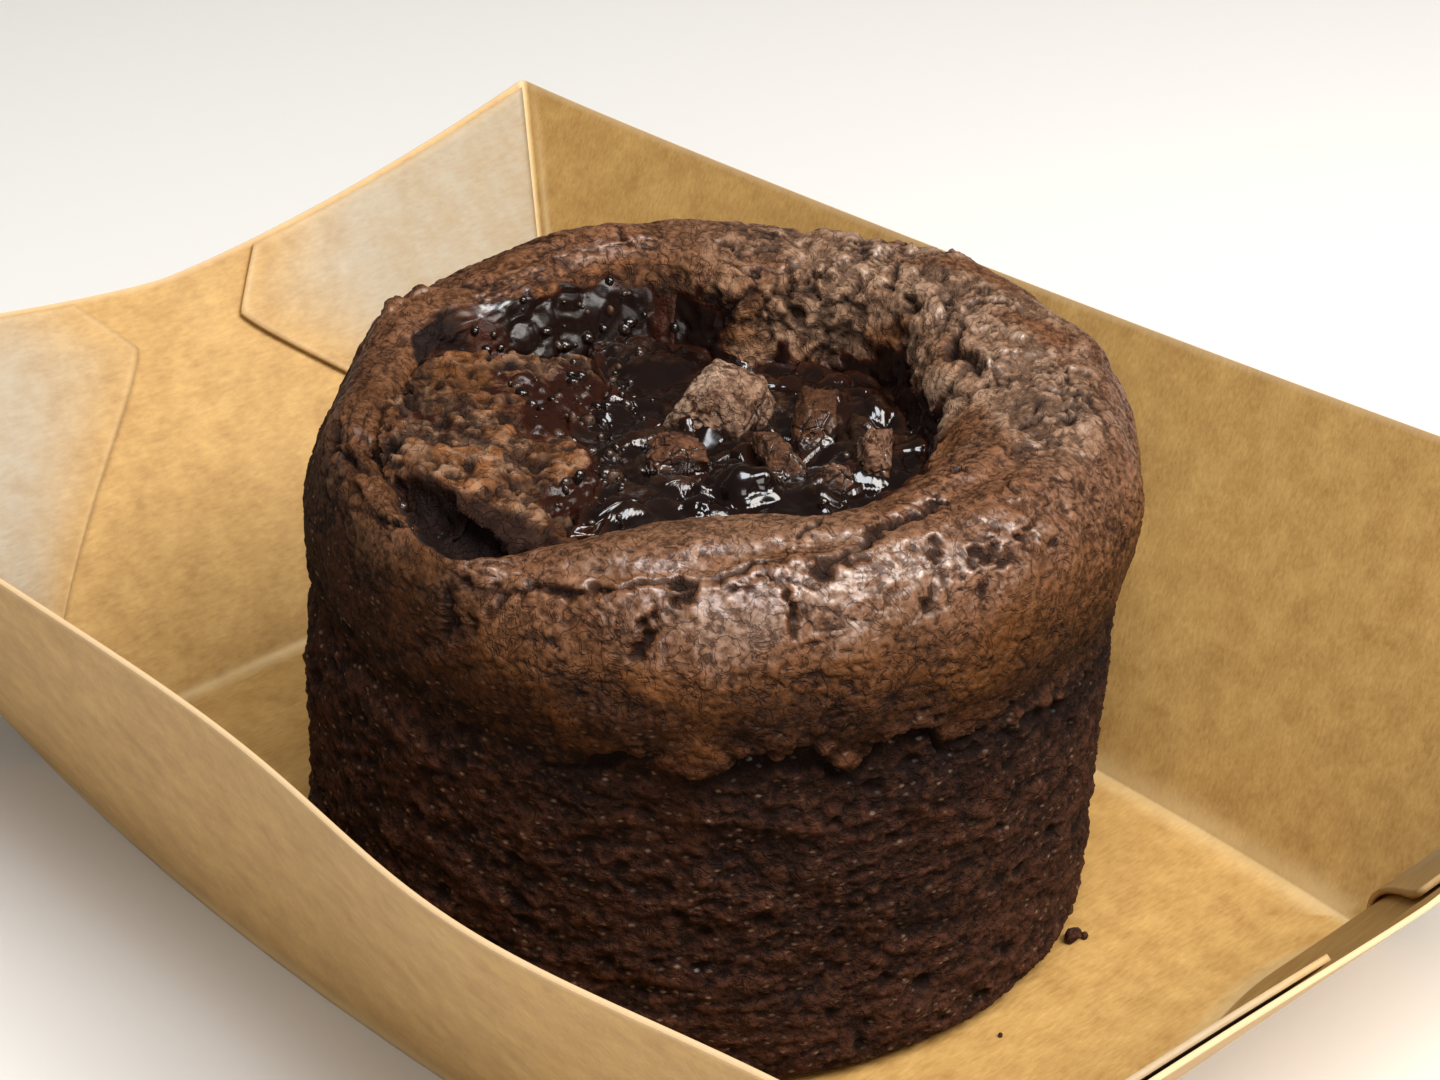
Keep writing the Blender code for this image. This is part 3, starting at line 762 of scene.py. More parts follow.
@dataclass(frozen=True)
class TornFinish(Finish):
    """A torn block of sponge, pale or amber on its broken faces and soaked dark round its foot.

    Its masks are pale, amber and glaze.
    """

    grain: NodeTree
    grain_scale: float = 1200.0
    streak_scale: float = 420.0
    specular: float = 0.16
    coat_roughness: float = 0.1
    relief: float = 0.8
    dark: tuple = (0.050, 0.0190, 0.0090, 1.0)
    light: tuple = (0.200, 0.0830, 0.0420, 1.0)
    pale: tuple = (0.460, 0.3080, 0.2100, 1.0)
    amber: tuple = (0.066, 0.0235, 0.0045, 1.0)
    soaked: tuple = (0.013, 0.0050, 0.0030, 1.0)

    def dress(self, tree: Tree) -> dict[str, object]:
        """Streaky sponge colour under a glaze mask that also wets it.

        Args:
            tree: the material's nodes.

        Returns:
            The shader's inputs by name.
        """
        where = tree.place()
        grain = tree.group(self.grain, Vector=where, Scale=self.grain_scale, Pores=0.5, Wrinkles=0.5)
        streaks = tree.noise(where, self.streak_scale, 4.0, 0.8)
        tone = tree.math("ADD_CLAMP", tree.remap(grain.outputs["Shade"], 0.05, 0.85, 0.0, 0.65),
                         tree.remap(streaks, 0.4, 0.7, -0.15, 0.5))
        glaze, amber = tree.mask("glaze"), tree.mask("amber")
        light = tree.blend(tree.mask("pale"), self.light, self.pale)
        colour = tree.blend(tone, self.dark, tree.blend(amber, light, self.amber))
        coat = tree.math("MAXIMUM", tree.remap(glaze, 0.1, 0.6), tree.times(amber, 0.2))
        height = tree.times(grain.outputs["Height"], tree.remap(glaze, 0.1, 0.8, 1.0, 0.15))
        return {"Base Color": tree.blend(tree.remap(glaze, 0.1, 0.9), colour, self.soaked),
                "Roughness": tree.remap(glaze, 0.0, 0.8, 0.6, 0.2), "Coat Weight": coat,
                "Coat Roughness": self.coat_roughness, "Specular IOR Level": self.specular,
                "Normal": tree.bump(height, self.relief)}


@dataclass(frozen=True)
class KraftFinish(Finish):
    """Kraft paperboard.

    Its masks are edge for the cut edge, pale for the glued flaps, and one for the painted highlights along
    the floor's crease and the corner folds.
    """

    fibre: NodeTree
    dark: tuple = (0.350, 0.1900, 0.0520, 1.0)
    light: tuple = (0.530, 0.3250, 0.1060, 1.0)
    pale_dark: tuple = (0.300, 0.2380, 0.1580, 1.0)
    pale_light: tuple = (0.380, 0.3150, 0.2240, 1.0)
    # Colour of the painted highlight along the crease and the folds.
    highlight_colour: tuple = (0.760, 0.5700, 0.3000, 1.0)
    cut: tuple = (0.640, 0.4600, 0.2700, 1.0)
    specular: float = 0.45
    roughness: float = 0.56
    pale_roughness: float = 0.32
    relief: float = 0.35
    relief_m: float = 0.00012

    def dress(self, tree: Tree) -> dict[str, object]:
        """Clouds and fibres of two tones, greyer and smoother on flaps, painted highlights on folds, paler
        cut edges.

        Args:
            tree: the material's nodes.

        Returns:
            The shader's inputs by name.
        """
        paper = tree.group(self.fibre, Vector=tree.place(), Scale=1.0)
        cloud, fibre = paper.outputs["Cloud"], paper.outputs["Fibre"]
        tone = tree.math("ADD_CLAMP", tree.remap(cloud, 0.3, 0.7, 0.0, 0.65),
                         tree.remap(fibre, 0.35, 0.65, -0.15, 0.45))
        pale = tree.times(tree.mask("pale"), tree.remap(cloud, 0.3, 0.6, 0.75, 1.0))
        colour = tree.blend(pale, tree.blend(tone, self.dark, self.light),
                            tree.blend(tone, self.pale_dark, self.pale_light))
        # Painted highlight along the floor's crease and the corner folds.
        colour = tree.blend(tree.times(tree.mask("fold_highlight"), 0.75), colour, self.highlight_colour)
        rough = tree.remap(pale, 0.0, 1.0, self.roughness, self.pale_roughness)
        return {"Base Color": tree.blend(tree.mask("edge"), colour, self.cut),
                "Roughness": tree.math("ADD", rough, tree.remap(fibre, 0.3, 0.7, -0.06, 0.08)),
                "Specular IOR Level": self.specular,
                "Normal": tree.bump(paper.outputs["Height"], self.relief, self.relief_m)}


@dataclass(frozen=True)
class FloorFinish(Finish):
    """The plain pale studio floor."""

    colour: tuple = (0.78, 0.765, 0.74, 1.0)
    roughness: float = 0.7

    def dress(self, tree: Tree) -> dict[str, object]:
        """One pale colour, quite matt."""
        return {"Base Color": self.colour, "Roughness": self.roughness}


# Souffle

@dataclass(frozen=True)
class Crack:
    """A split in the crust, seen from above: its line of (x, y) points, half width and depth."""

    points: tuple
    half_width: float
    depth: float


@dataclass(frozen=True)
class Patch:
    """A rounded patch on the side: degrees round, height, half width, half height, bulge and amber tint."""

    degrees: float
    height: float
    half_width: float
    half_height: float
    bulge: float
    tint: float


@dataclass(frozen=True)
class Oval:
    """An oval seen from above: its middle (x, y) and half widths."""

    x: float
    y: float
    half_x: float
    half_y: float

    def spread(self, x: Array, y: Array) -> Array:
        """0 at its middle, 1 on its outline and more outside it."""
        return np.hypot((x - self.x) / self.half_x, (y - self.y) / self.half_y)


@dataclass
class Form:
    """The solid's own form on a fine grid, whose rows run from the hollow's middle outwards."""

    place: Array                    # (rows, columns, 3)
    degrees: Array                  # angle round the axis
    inside: Array                   # how far inside the hollow's edge
    along: Array                    # distance along the profile
    slab: Array                     # share of the fallen slab
    hollow: Array                   # 1 inside the lip
    top: Array                      # 1 from the middle to the widest ring
    lip_at: float                   # where the profile passes the lip
    seam_at: float                  # where it passes the lower end of the crust's piece


@dataclass
class Surface:
    """The souffle's finished surface: its places, the finish's masks and the form under them."""

    place: Array
    masks: Masks
    form: Form


class Relief:
    """What stands out from the souffle's form, added up region by region, and the finish's masks.

    Each add method moves places in or out by millimetres, and marks creases (painted shade), amber and glaze
    by shares.
    """

    def __init__(self, souffle: "Souffle", form: Form) -> None:
        """Splits the form into crust, side and rim.

        The crust ends at a measured height round the side, softly on the left and raggedly on the right.

        Args:
            souffle: whose measured features are used.
            form: the solid's form.
        """
        self.souffle, self.form, self.place = souffle, form, form.place
        self.x, self.y, self.z = np.moveaxis(form.place, -1, 0)
        self.degrees, self.slab, self.hollow, self.top = form.degrees, form.slab, form.hollow, form.top
        self.warp, self.jag = drift(self.place, 2.4, 60), drift(self.place, 1.0, 160)
        self.rough = self.place + 0.5 * self.warp
        self.left = between(self.degrees, *souffle.left_side)
        self.behind = between(self.degrees, *souffle.back_left)
        edge = round_curve(souffle.crust_edge, self.degrees) + 0.9 * self.noise(2.6, 3, 64)
        edge += 0.5 * self.noise(7.0, 1, 65) + 0.6 * (1 - self.left) * self.noise(1.3, 2, 63)
        self.below = np.where(self.top > 0, np.minimum(edge - self.z, -3.0), edge - self.z)
        self.crust = 1 - smooth(-0.5 - 1.2 * self.left, 0.5 + 1.8 * self.left, self.below)
        self.body = 1 - self.crust
        self.shell = self.crust * (1 - self.hollow)
        self.grey = self.crumbly_rim()
        self.move = np.zeros_like(self.z)
        self.crease = np.zeros_like(self.z)
        self.amber = np.zeros_like(self.z)

    def noise(self, cell: float, octaves: int, seed: int) -> Array:
        """Noise at each place, with lumps of this size."""
        return fractal(self.place, cell, octaves, seed)

    def crumbly_rim(self) -> Array:
        """Finds where the rim's skin is broken away, on the right and at the back.

        Returns:
            Each place's share of broken skin.
        """
        reach = np.hypot(self.x - LEAN * self.z, self.y)
        back = self.degrees < 180
        grey = np.clip(smooth(320, 350, self.degrees) + smooth(112, 78, self.degrees) * back, 0, 1)
        grey = grey * between(reach, *self.souffle.rim_reach) * self.top
        grey = grey * (1 - 0.45 * smooth(60, 85, self.degrees) * back)
        return grey * smooth(-0.55, 0.35, self.noise(6.0, 2, 66) + 0.35)

    def add_skin(self) -> None:
        """The crust: broken wrinkles, thin curved lines and fine grain."""
        plates = Cells(self.rough * (1.0, 1.0, 1.5), 2.1, 71)
        net = plates.split(0.085) * smooth(-0.15, 0.45, self.noise(6.5, 2, 75))
        band = np.stack([0.5 * self.x, 0.5 * self.y, 1.3 * self.form.along], axis=-1) + 0.7 * self.warp
        line = bell(fractal(band, 2.8, 3, 79), 0.045) * smooth(-0.3, 0.3, self.noise(5.0, 1, 78))
        thin_line = bell(fractal(band, 1.7, 2, 83), 0.05) * smooth(-0.1, 0.4, self.noise(4.0, 1, 84))
        line = np.maximum(line, 0.7 * thin_line)
        fine = fractal(self.rough * (1.0, 1.0, 1.5), 1.0, 2, 76)
        grains = Cells(self.rough * (1.0, 1.0, 1.3), 0.95, 81)
        self.move += self.shell * (plates.lumps(0.0, 0.10) - 0.15 * net - 0.17 * line + 0.09 * fine
                                   + grains.lumps(0.10))
        split = grains.split(0.08) * smooth(-0.1, 0.5, fine + 0.2)
        # Painted shade in the wrinkles, the thin lines and the splits between grains.
        self.crease += self.shell * (0.50 * net + 0.72 * line + 0.25 * split)

    def add_crumbly(self) -> None:
        """Angular lumps of two sizes, with deep splits, on the broken rim and the hollow's wall."""
        wall = self.hollow * (1 - self.slab) * smooth(43.0, 47.0, self.z)
        share = np.maximum(self.grey, 0.8 * wall) * (1 - 0.8 * self.glaze * self.behind)
        large = Cells(self.place + 1.2 * self.warp, 3.7, 91)
        self.move += share * (large.lumps(0.42, 0.75, 0.62) + 0.30 * self.noise(1.5, 3, 95))
        split = large.split(0.09) * smooth(-0.3, 0.4, self.noise(5.0, 2, 97))
        small = Cells(self.place + 0.6 * self.warp, 1.35, 99)
        self.move += share * (small.lumps(0.28, 0.34) - 0.85 * split)
        # Painted shade in the splits between lumps.
        self.crease += share * (split + 0.45 * small.split(0.10) * (small.own < 0.5))

    def add_side(self) -> None:
        """Open crumb, flattened by the mould: two sizes of knobs, torn streaks and pores, with painted shade
        between them.
        """
        knobs = Cells(self.rough * (1.0, 1.0, 1.6), 1.5, 101)
        self.move += self.body * knobs.lumps(0.20, 0.22, 0.60)
        self.crease += self.body * 0.40 * knobs.split(0.09) * (knobs.own < 0.7)
        self.move += self.body * Cells(self.rough * (1.0, 1.0, 1.2), 0.85, 103).lumps(0.20, 0.16)
        self.move += self.body * 0.26 * fractal(self.place * (0.8, 0.8, 1.8), 2.8, 3, 105)
        pores = Cells(self.place * (1.0, 1.0, 1.25), 3.0, 111)
        pore = smooth(0.42, 0.16, pores.near + 0.18 * self.warp[..., 0]) * (pores.own > 0.70)
        torn = fractal(self.place * (0.9, 0.9, 1.7), 1.3, 3, 115)
        self.move += self.body * (0.26 * torn - 0.5 * pore)
        self.crease += self.body * (0.8 * pore + 0.6 * smooth(-0.15, -0.55, torn))

    def add_torn_edge(self) -> None:
        """The crust's lower edge: torn lumps, the side drawn in under it, and gaps where it gapes; all with
        painted shade.
        """
        sharp = 1 - 0.85 * self.left
        torn_edge = sharp * bell(self.below + 0.3, 2.4) * (1 - self.hollow)
        flakes = Cells(self.place * (1.0, 1.0, 1.25) + 0.5 * self.warp, 1.7, 117)
        self.move += torn_edge * flakes.lumps(0.45, 0.5)
        self.crease += torn_edge * (0.8 * flakes.split(0.09) * (flakes.own < 0.6) + 0.5 * (flakes.own < 0.16))
        self.move -= self.body * sharp * (0.26 * np.exp(-np.maximum(self.below, 0.0) / 5.0))
        # Painted shadow on the side just under the crust's edge.
        self.crease += self.body * 0.35 * bell(self.below - 1.0, 3.5)
        gap = np.clip(round_curve(self.souffle.crust_gap, self.degrees), 0.0, 2.0) * sharp
        gape = gap * bell(self.below - 0.75, 0.75) * self.body
        self.move += 0.30 * gap * self.shell * bell(self.below + 0.6, 1.2) - 1.25 * gape
        # Painted shade in the gaps.
        self.crease += 0.9 * gape

    def add_patches(self) -> None:
        """Rounded patches of their own on the side, some of them amber."""
        for patch in self.souffle.patches:
            turn = np.mod(self.degrees - patch.degrees + 180.0, 360.0) - 180.0
            across = turn * math.radians(self.souffle.widest)
            spread = np.hypot(across / patch.half_width, (self.z - patch.height) / patch.half_height)
            spread = spread + 0.22 * self.noise(2.0, 2, 121)
            share = smooth(1.25, 0.75, spread) * (1 - self.hollow)
            self.move += share * patch.bulge * (1.2 - 0.5 * np.clip(spread, 0, 2) ** 2)
            self.amber = np.maximum(self.amber, share * patch.tint)

    def add_cracks(self) -> None:
        """Named cracks, ragged and broken up, with painted shade in them, and the flakes that stand up from
        the rim.
        """
        wander_x = self.x + 0.7 * self.warp[..., 0] + 0.5 * self.jag[..., 0]
        wander_y = self.y + 0.7 * self.warp[..., 1] + 0.5 * self.jag[..., 1]
        wide = 0.45 + 0.75 * smooth(-0.6, 0.7, self.jag[..., 2] + 0.5 * self.warp[..., 2])
        whole = 0.15 + 0.85 * smooth(-0.3, 0.2, self.noise(2.1, 2, 165))
        for crack in self.souffle.cracks:
            away = line_distance(wander_x, wander_y, crack.points)
            unbroken = crack.half_width > self.souffle.unbroken_width
            share = bell(away, crack.half_width * wide) * self.top * np.maximum(whole, unbroken)
            self.move -= share * crack.depth
            self.crease = np.maximum(self.crease, share)
            self.move += 0.10 * bell(away - 2.0 * crack.half_width, crack.half_width) * self.top
        for (flake_x, flake_y), half_width, rise in self.souffle.flakes:
            away = np.abs(wander_x - flake_x) + np.abs(wander_y - flake_y) + 0.7 * self.jag[..., 0]
            share = np.clip(1.3 - away / half_width, 0.0, 1.0) * self.top
            self.move += 0.8 * rise * share
            self.crease = np.maximum(self.crease, 0.75 * share)

    def add_hollow(self) -> None:
        """The hollow's wall: wet near its edge, lumpy at the back left, with painted shade where the slab
        split off.
        """
        souffle, inside = self.souffle, self.form.inside
        start = round_curve(souffle.glaze_start, self.degrees)
        wet = smooth(start, start + 0.5, inside + 0.9 * self.noise(2.6, 3, 131))
        glaze = (1 - self.slab) * self.top * wet * smooth(-5.5, -4.5, inside)
        glaze = glaze * (1 - 0.45 * between(self.degrees, *souffle.dry_front))
        self.bead = Cells(self.place + 0.7 * self.warp, 2.9, 141).lumps(1.25, 0.7)
        self.move += 0.8 * glaze * self.behind * self.bead
        # Painted shade: the crevices beside the slab, the step at its front and part of the glazed wall at
        # the back left go dark and lose their glaze.
        beside = self.x < souffle.slab_edge_x + souffle.slab_slope_run + 5.0
        notch = self.hollow * (1 - self.slab) * beside * (1 - self.behind)
        notch = notch * smooth(0.2, 1.4, inside + 0.5 * self.jag[..., 0])
        step = between(self.slab, 0.02, 0.2, 0.85, 0.99) * between(self.degrees, *souffle.slab_step_front)
        shaded_back_wall = glaze * self.behind * smooth(136, 150, self.degrees)
        notch = np.maximum(np.maximum(notch, step), shaded_back_wall)
        self.glaze = glaze * (1 - notch)
        self.crease = np.maximum(self.crease, notch)

    def add_tongue(self) -> None:
        """The slab's front strip, which falls away in wrinkles, dark, and breaks off at its lower edge."""
        at_x, at_y, slope = self.souffle.tongue_line
        ahead = -(self.y - at_y - slope * (self.x - at_x)) + 0.8 * self.warp[..., 1]
        self.tongue = self.slab * smooth(-0.4, 0.9, ahead) * smooth(-31.0, -27.0, self.x)
        length, width = 0.87 * self.x - 0.5 * self.y, 0.5 * self.x + 0.87 * self.y
        wrinkles = fractal(np.stack([0.25 * length, 1.5 * width, self.z], axis=-1), 1.8, 3, 156)
        self.move -= self.tongue * (0.50 * np.clip(ahead, 0.0, 6.0) - 0.55 * wrinkles)
        low_edge = 3.1 - 3.9 * smooth(-16.0, -10.0, self.x)
        fallen = self.tongue * smooth(-0.4, 0.8, ahead - low_edge)
        self.move -= 1.6 * fallen
        # The strip is darkened, and where it has fallen away it is black with painted shade.
        dark = np.maximum((0.80 - 0.3 * self.jag[..., 0]) * self.tongue, fallen)
        self.crease = np.maximum(self.crease, dark)

    def add_slab(self) -> None:
        """The fallen slab: broken crumb with pits and rifts, and wet lumps where chocolate has soaked it."""
        spots = self.noise(3.4, 3, 133)
        wells = [share * bell(oval.spread(self.x, self.y), 1.0) for oval, share in self.souffle.wells]
        welled = np.max(wells, axis=0)
        soaked = self.slab * smooth(-0.15, 0.30, spots + 1.6 * welled - 0.62)
        self.glaze = np.maximum(self.glaze, np.maximum(0.8 * soaked, 0.10 * self.tongue))
        self.move += 0.85 * soaked * self.bead
        broken = self.slab * (1 - 0.8 * smooth(0.2, 0.7, self.tongue))
        crumb = Cells(self.place + 0.6 * self.warp, 1.6, 153)
        self.move += broken * (0.70 * self.noise(3.6, 3, 151) + 0.30 * self.noise(1.2, 2, 152))
        self.move += broken * crumb.lumps(0.42, 0.40)
        dry = broken * (1 - soaked)
        split = crumb.split(0.12) * smooth(-0.3, 0.3, spots + self.jag[..., 0]) * dry
        pits = Cells(self.place + 0.8 * self.warp, 2.7, 155)
        pit = smooth(0.42, 0.16, pits.near) * (pits.own > 0.46) * dry
        rift = pits.split(0.08) * smooth(0.0, 0.5, self.noise(4.0, 2, 158)) * broken
        # Painted shade in the pits, rifts and splits.
        self.move -= 0.8 * pit + 0.45 * rift + 0.2 * split
        self.crease += 0.9 * pit + 0.6 * rift + 0.55 * split
        for pit_x, pit_y, size in self.souffle.slab_pits:
            away = np.hypot(self.x - pit_x, (self.y - pit_y) * 0.7) + 0.4 * self.jag[..., 0]
            share = bell(away, size) * self.slab
            self.move -= 1.3 * share
            self.crease += share
        amber = self.slab * bell(self.souffle.slab_amber.spread(self.x, self.y), 1.0)
        self.amber = np.maximum(self.amber, 0.8 * amber * smooth(-0.4, 0.3, spots + 0.2))
        self.worn = 0.50 * broken * smooth(-0.5, 0.4, spots + self.jag[..., 2]) * (1 - self.amber)

    def total(self) -> Array:
        """Adds everything up, except at the base and deep under the chocolate, where nothing moves.

        Returns:
            How far each place moves along its normal.
        """
        for add in (self.add_hollow, self.add_skin, self.add_crumbly, self.add_side, self.add_torn_edge,
                    self.add_patches, self.add_cracks, self.add_tongue, self.add_slab):
            add()
        buried = self.hollow * smooth(47.5, 45.5, self.z)
        self.move = self.move * smooth(0.0, 1.6, self.z) * (1 - buried)
        return self.move

    def masks(self) -> Masks:
        """Turns what has been added into masks, painted light, shade and highlight among them.

        The crust darkens towards its lower edge, and with painted shade on the left.

        Returns:
            The finish's masks.
        """
        mottle = 3.4 * self.noise(4.5, 3, 68)
        # Painted shade: on the left, away from the lamps, the crust is darkened further.
        tone = smooth(1.5, 15.0, mottle - self.below - 4.5 * smooth(262, 232, self.degrees) * self.left)
        shade = np.clip(0.40 + 0.70 * self.jag[..., 1], 0.0, 1.0)
        tone = tone * (1 - self.hollow) + self.hollow * shade
        # Painted light: the side is lightened towards the right, where the key lamp stands, and near its
        # foot, where light comes back off the tray's floor.
        lit = 0.14 * smooth(280, 318, self.degrees) + 0.10 * smooth(16.0, 3.0, self.z)
        # Painted highlight: a broad pale patch on the front shoulder, carried by the grey mask.
        at_degrees, at_height, half_degrees, half_height = self.souffle.shoulder_highlight
        turn = np.mod(self.degrees - at_degrees + 180.0, 360.0) - 180.0
        painted_highlight = bell(turn, half_degrees) * bell(self.z - at_height, half_height) * self.top
        painted_highlight = painted_highlight * self.shell * smooth(-0.45, 0.35, self.noise(5.0, 3, 69))
        skin = smooth(1.0, 5.0, self.form.along - self.form.lip_at)
        # The lift mask is painted light: raised places, and the side's right and foot, come out lighter.
        return {"crust": self.crust * (0.30 + 0.70 * smooth(0.0, 0.4, tone)), "high": tone,
                "sheen": self.shell * (0.05 + 0.95 * tone) * skin * smooth(45.0, 53.0, self.z),
                "crease": self.crease * (1 - 0.8 * self.glaze),
                "grey": np.maximum(np.maximum(self.grey, 0.55 * painted_highlight), self.worn), "amber": self.amber,
                "glaze": self.glaze, "lift": 0.5 + 0.85 * self.move + self.body * lit}


@dataclass
class Souffle:
    """The baked body: one surface from the middle of the hollow, over the rim and down the side to the base.

    A turned profile is moved by rules for the hollow's edge, the crest, the fallen slab, the shoulder and the
    crags; relief finer than the solid's is then added along the surface's normals.
    """

    hollow_finish: Material
    crust_finish: Material
    widest: float = 42.5
    widest_height: float = 44.5
    body_radius: float = 41.3
    fold_height: float = 38.5
    crest_radius: float = 32.5
    crest_height: float = 57.0
    lip_radius: float = 25.0
    lip_height: float = 54.2
    hollow_height: float = 42.5
    columns: int = 640
    front_crowding: float = 0.3         # how much closer the columns stand at the front than on average
    row_step: float = 0.262
    hidden_rows: int = 7                # on the hollow's floor under the chocolate, and under the base
    hidden_reach: float = 9.0
    seam_height: float = 33.4           # where the crust's piece ends on the side
    slab_high: float = 54.2
    slab_low: float = 50.2
    slab_hinge_x: float = -33.0
    slab_edge_x: float = -13.5
    slab_slope_run: float = 5.5
    slab_raggedness: float = 2.4        # how far its torn edges wander
    slab_step: float = 0.9              # half the width of the slope at its edges
    tongue_line: tuple = (-25.1, -13.2, -0.57)      # where its front strip falls away: x, y and slope
    unbroken_width: float = 0.6         # cracks with more half width than this run on unbroken
    tuck: float = 0.90                  # how far in the hidden face under the crust's piece goes
    core_height: float = 38.0           # of the hidden face under the hollow's piece
    # Parts of the round, in degrees: where each starts, is whole, begins to fade and ends.
    left_side: tuple = (110.0, 150.0, 240.0, 262.0)
    pinched_side: tuple = (140.0, 175.0, 215.0, 250.0)
    back_left: tuple = (98.0, 108.0, 162.0, 176.0)
    dry_front: tuple = (262.0, 274.0, 322.0, 334.0)
    slab_step_front: tuple = (196.0, 206.0, 244.0, 252.0)
    # The same for how far out the crumbly rim reaches.
    rim_reach: tuple = (18.0, 22.5, 35.5, 40.5)
    # A painted highlight on the shoulder in front: degrees round, height, half its turn and half its height.
    shoulder_highlight: tuple = (278.0, 54.0, 24.0, 3.6)
    lip_outline: tuple = (
        (0, 23.3), (20, 22.6), (46, 26.2), (66, 24.6), (88, 23.6), (103, 29.5), (116, 31.2), (137, 30.6),
        (152, 33.2), (175, 33.0), (200, 34.8), (209, 35.2), (216, 36.4), (223, 38.2), (229, 39.0),
        (233, 38.8), (237, 35.6), (241, 32.2), (247, 28.8), (256, 25.8), (270, 24.5), (295, 26.0),
        (310, 25.8), (325, 24.6), (347, 23.2),
    )
    # How far inside the hollow's edge the slab starts: degrees round, distance.
    trench: tuple = (
        (0, 4.0), (60, 5.0), (100, 7.0), (112, 6.8), (130, 4.3), (143, 2.5), (153, 0.6), (162, -1.8),
        (192, -1.8), (200, 0.4), (207, 3.4), (214, 5.2), (222, 8.2), (230, 10.0), (236, 10.0), (241, 8.4),
        (248, 5.6), (262, 4.0), (310, 4.0),
    )
    crest_change: tuple = (
        (0, 0.8), (20, 1.6), (45, 2.2), (75, 2.5), (100, 2.4), (122, 1.4), (142, -0.2), (165, -2.2),
        (200, -2.6), (232, -3.0), (255, -0.8), (290, 0.0), (330, 0.5),
    )
    shoulder_swell: tuple = (
        (0, 1.3), (20, 2.2), (42, 1.8), (62, 1.0), (85, 0.2), (103, 0.5), (122, 1.0), (142, 1.2), (158, 0.5),
        (175, -0.2), (200, -0.2), (232, -0.2), (260, 0.0), (320, 0.3),
    )
    # Lower edge of the crust: degrees round, height.
    crust_edge: tuple = (
        (0, 34.0), (20, 35.0), (45, 36.0), (70, 36.5), (100, 38.0), (130, 39.0), (150, 40.0), (175, 41.5),
        (200, 42.5), (212, 41.0), (225, 40.5), (235, 40.0), (242, 37.4), (250, 37.0), (257, 38.3),
        (262, 39.0), (265, 37.0), (268, 36.2), (272, 37.0), (275, 38.8), (281, 38.2), (284, 38.4),
        (286, 36.8), (289, 35.9), (292, 38.0), (296, 40.0), (300, 39.3), (302, 36.2), (308, 35.4),
        (316, 35.2), (324, 34.6), (335, 33.8), (348, 33.6),
    )
    # How wide the crust gapes over the side there: degrees round, depth.
    crust_gap: tuple = (
        (0, 0.2), (60, 0.7), (90, 0.1), (130, 0.8), (160, 0.3), (200, 0.3), (207, 1.0), (213, 0.5),
        (230, 0.9), (238, 0.2), (250, 0.4), (257, 1.1), (262, 0.2), (268, 0.1), (276, 1.1), (282, 0.7),
        (288, 1.1), (297, 1.5), (301, 1.2), (304, 0.2), (316, 0.3), (324, 0.9), (332, 0.3), (345, 0.3),
    )
    # Torn flakes that stand up from the rim: place (x, y), half width and rise.
    flakes: tuple = (((-13.8, 37.6), 1.1, 1.4), ((-32.6, 19.4), 1.9, 1.2), ((-30.2, 22.4), 1.5, 0.9),
                     ((-38.0, 0.0), 1.2, 0.6), ((26.5, 29.5), 1.0, 0.7))
    # How far inside the hollow's edge the wall turns dark and wet: degrees round, distance.
    glaze_start: tuple = (
        (0, 0.4), (20, 0.5), (40, 0.9), (55, 1.6), (70, 2.0), (82, 1.9), (92, 0.6), (102, 1.0), (112, 0.2),
        (122, 0.0), (132, -0.9), (143, -2.0), (155, -2.2), (163, 0.4), (172, 1.6), (190, 1.8), (204, -0.6),
        (212, -0.9), (222, -0.9), (236, -0.9), (250, 0.2), (262, 1.0), (276, 0.0), (300, -1.2), (322, -0.8),
        (340, 0.4),
    )
    # Pits in the slab: place (x, y) and size.
    slab_pits: tuple = ((-25.6, -2.2, 0.9), (-19.4, 1.0, 0.6), (-29.0, 0.6, 0.6), (-22.6, -9.6, 0.6),
                        (-30.6, 5.4, 0.8), (-31.4, 9.0, 1.0), (-30.2, -8.0, 0.8), (-15.4, -6.4, 0.6))
    # Where chocolate has soaked the slab, and how much; then its amber patch.
    wells: tuple = ((Oval(-12.0, 7.5, 7.125, 8.55), 1.0), (Oval(-12.2, -12.6, 3.4, 3.4), 0.9),
                    (Oval(-9.0, -2.0, 3.4, 12.0), 0.8))
    slab_amber: Oval = Oval(-24.5, 10.0, 5.5, 6.5)
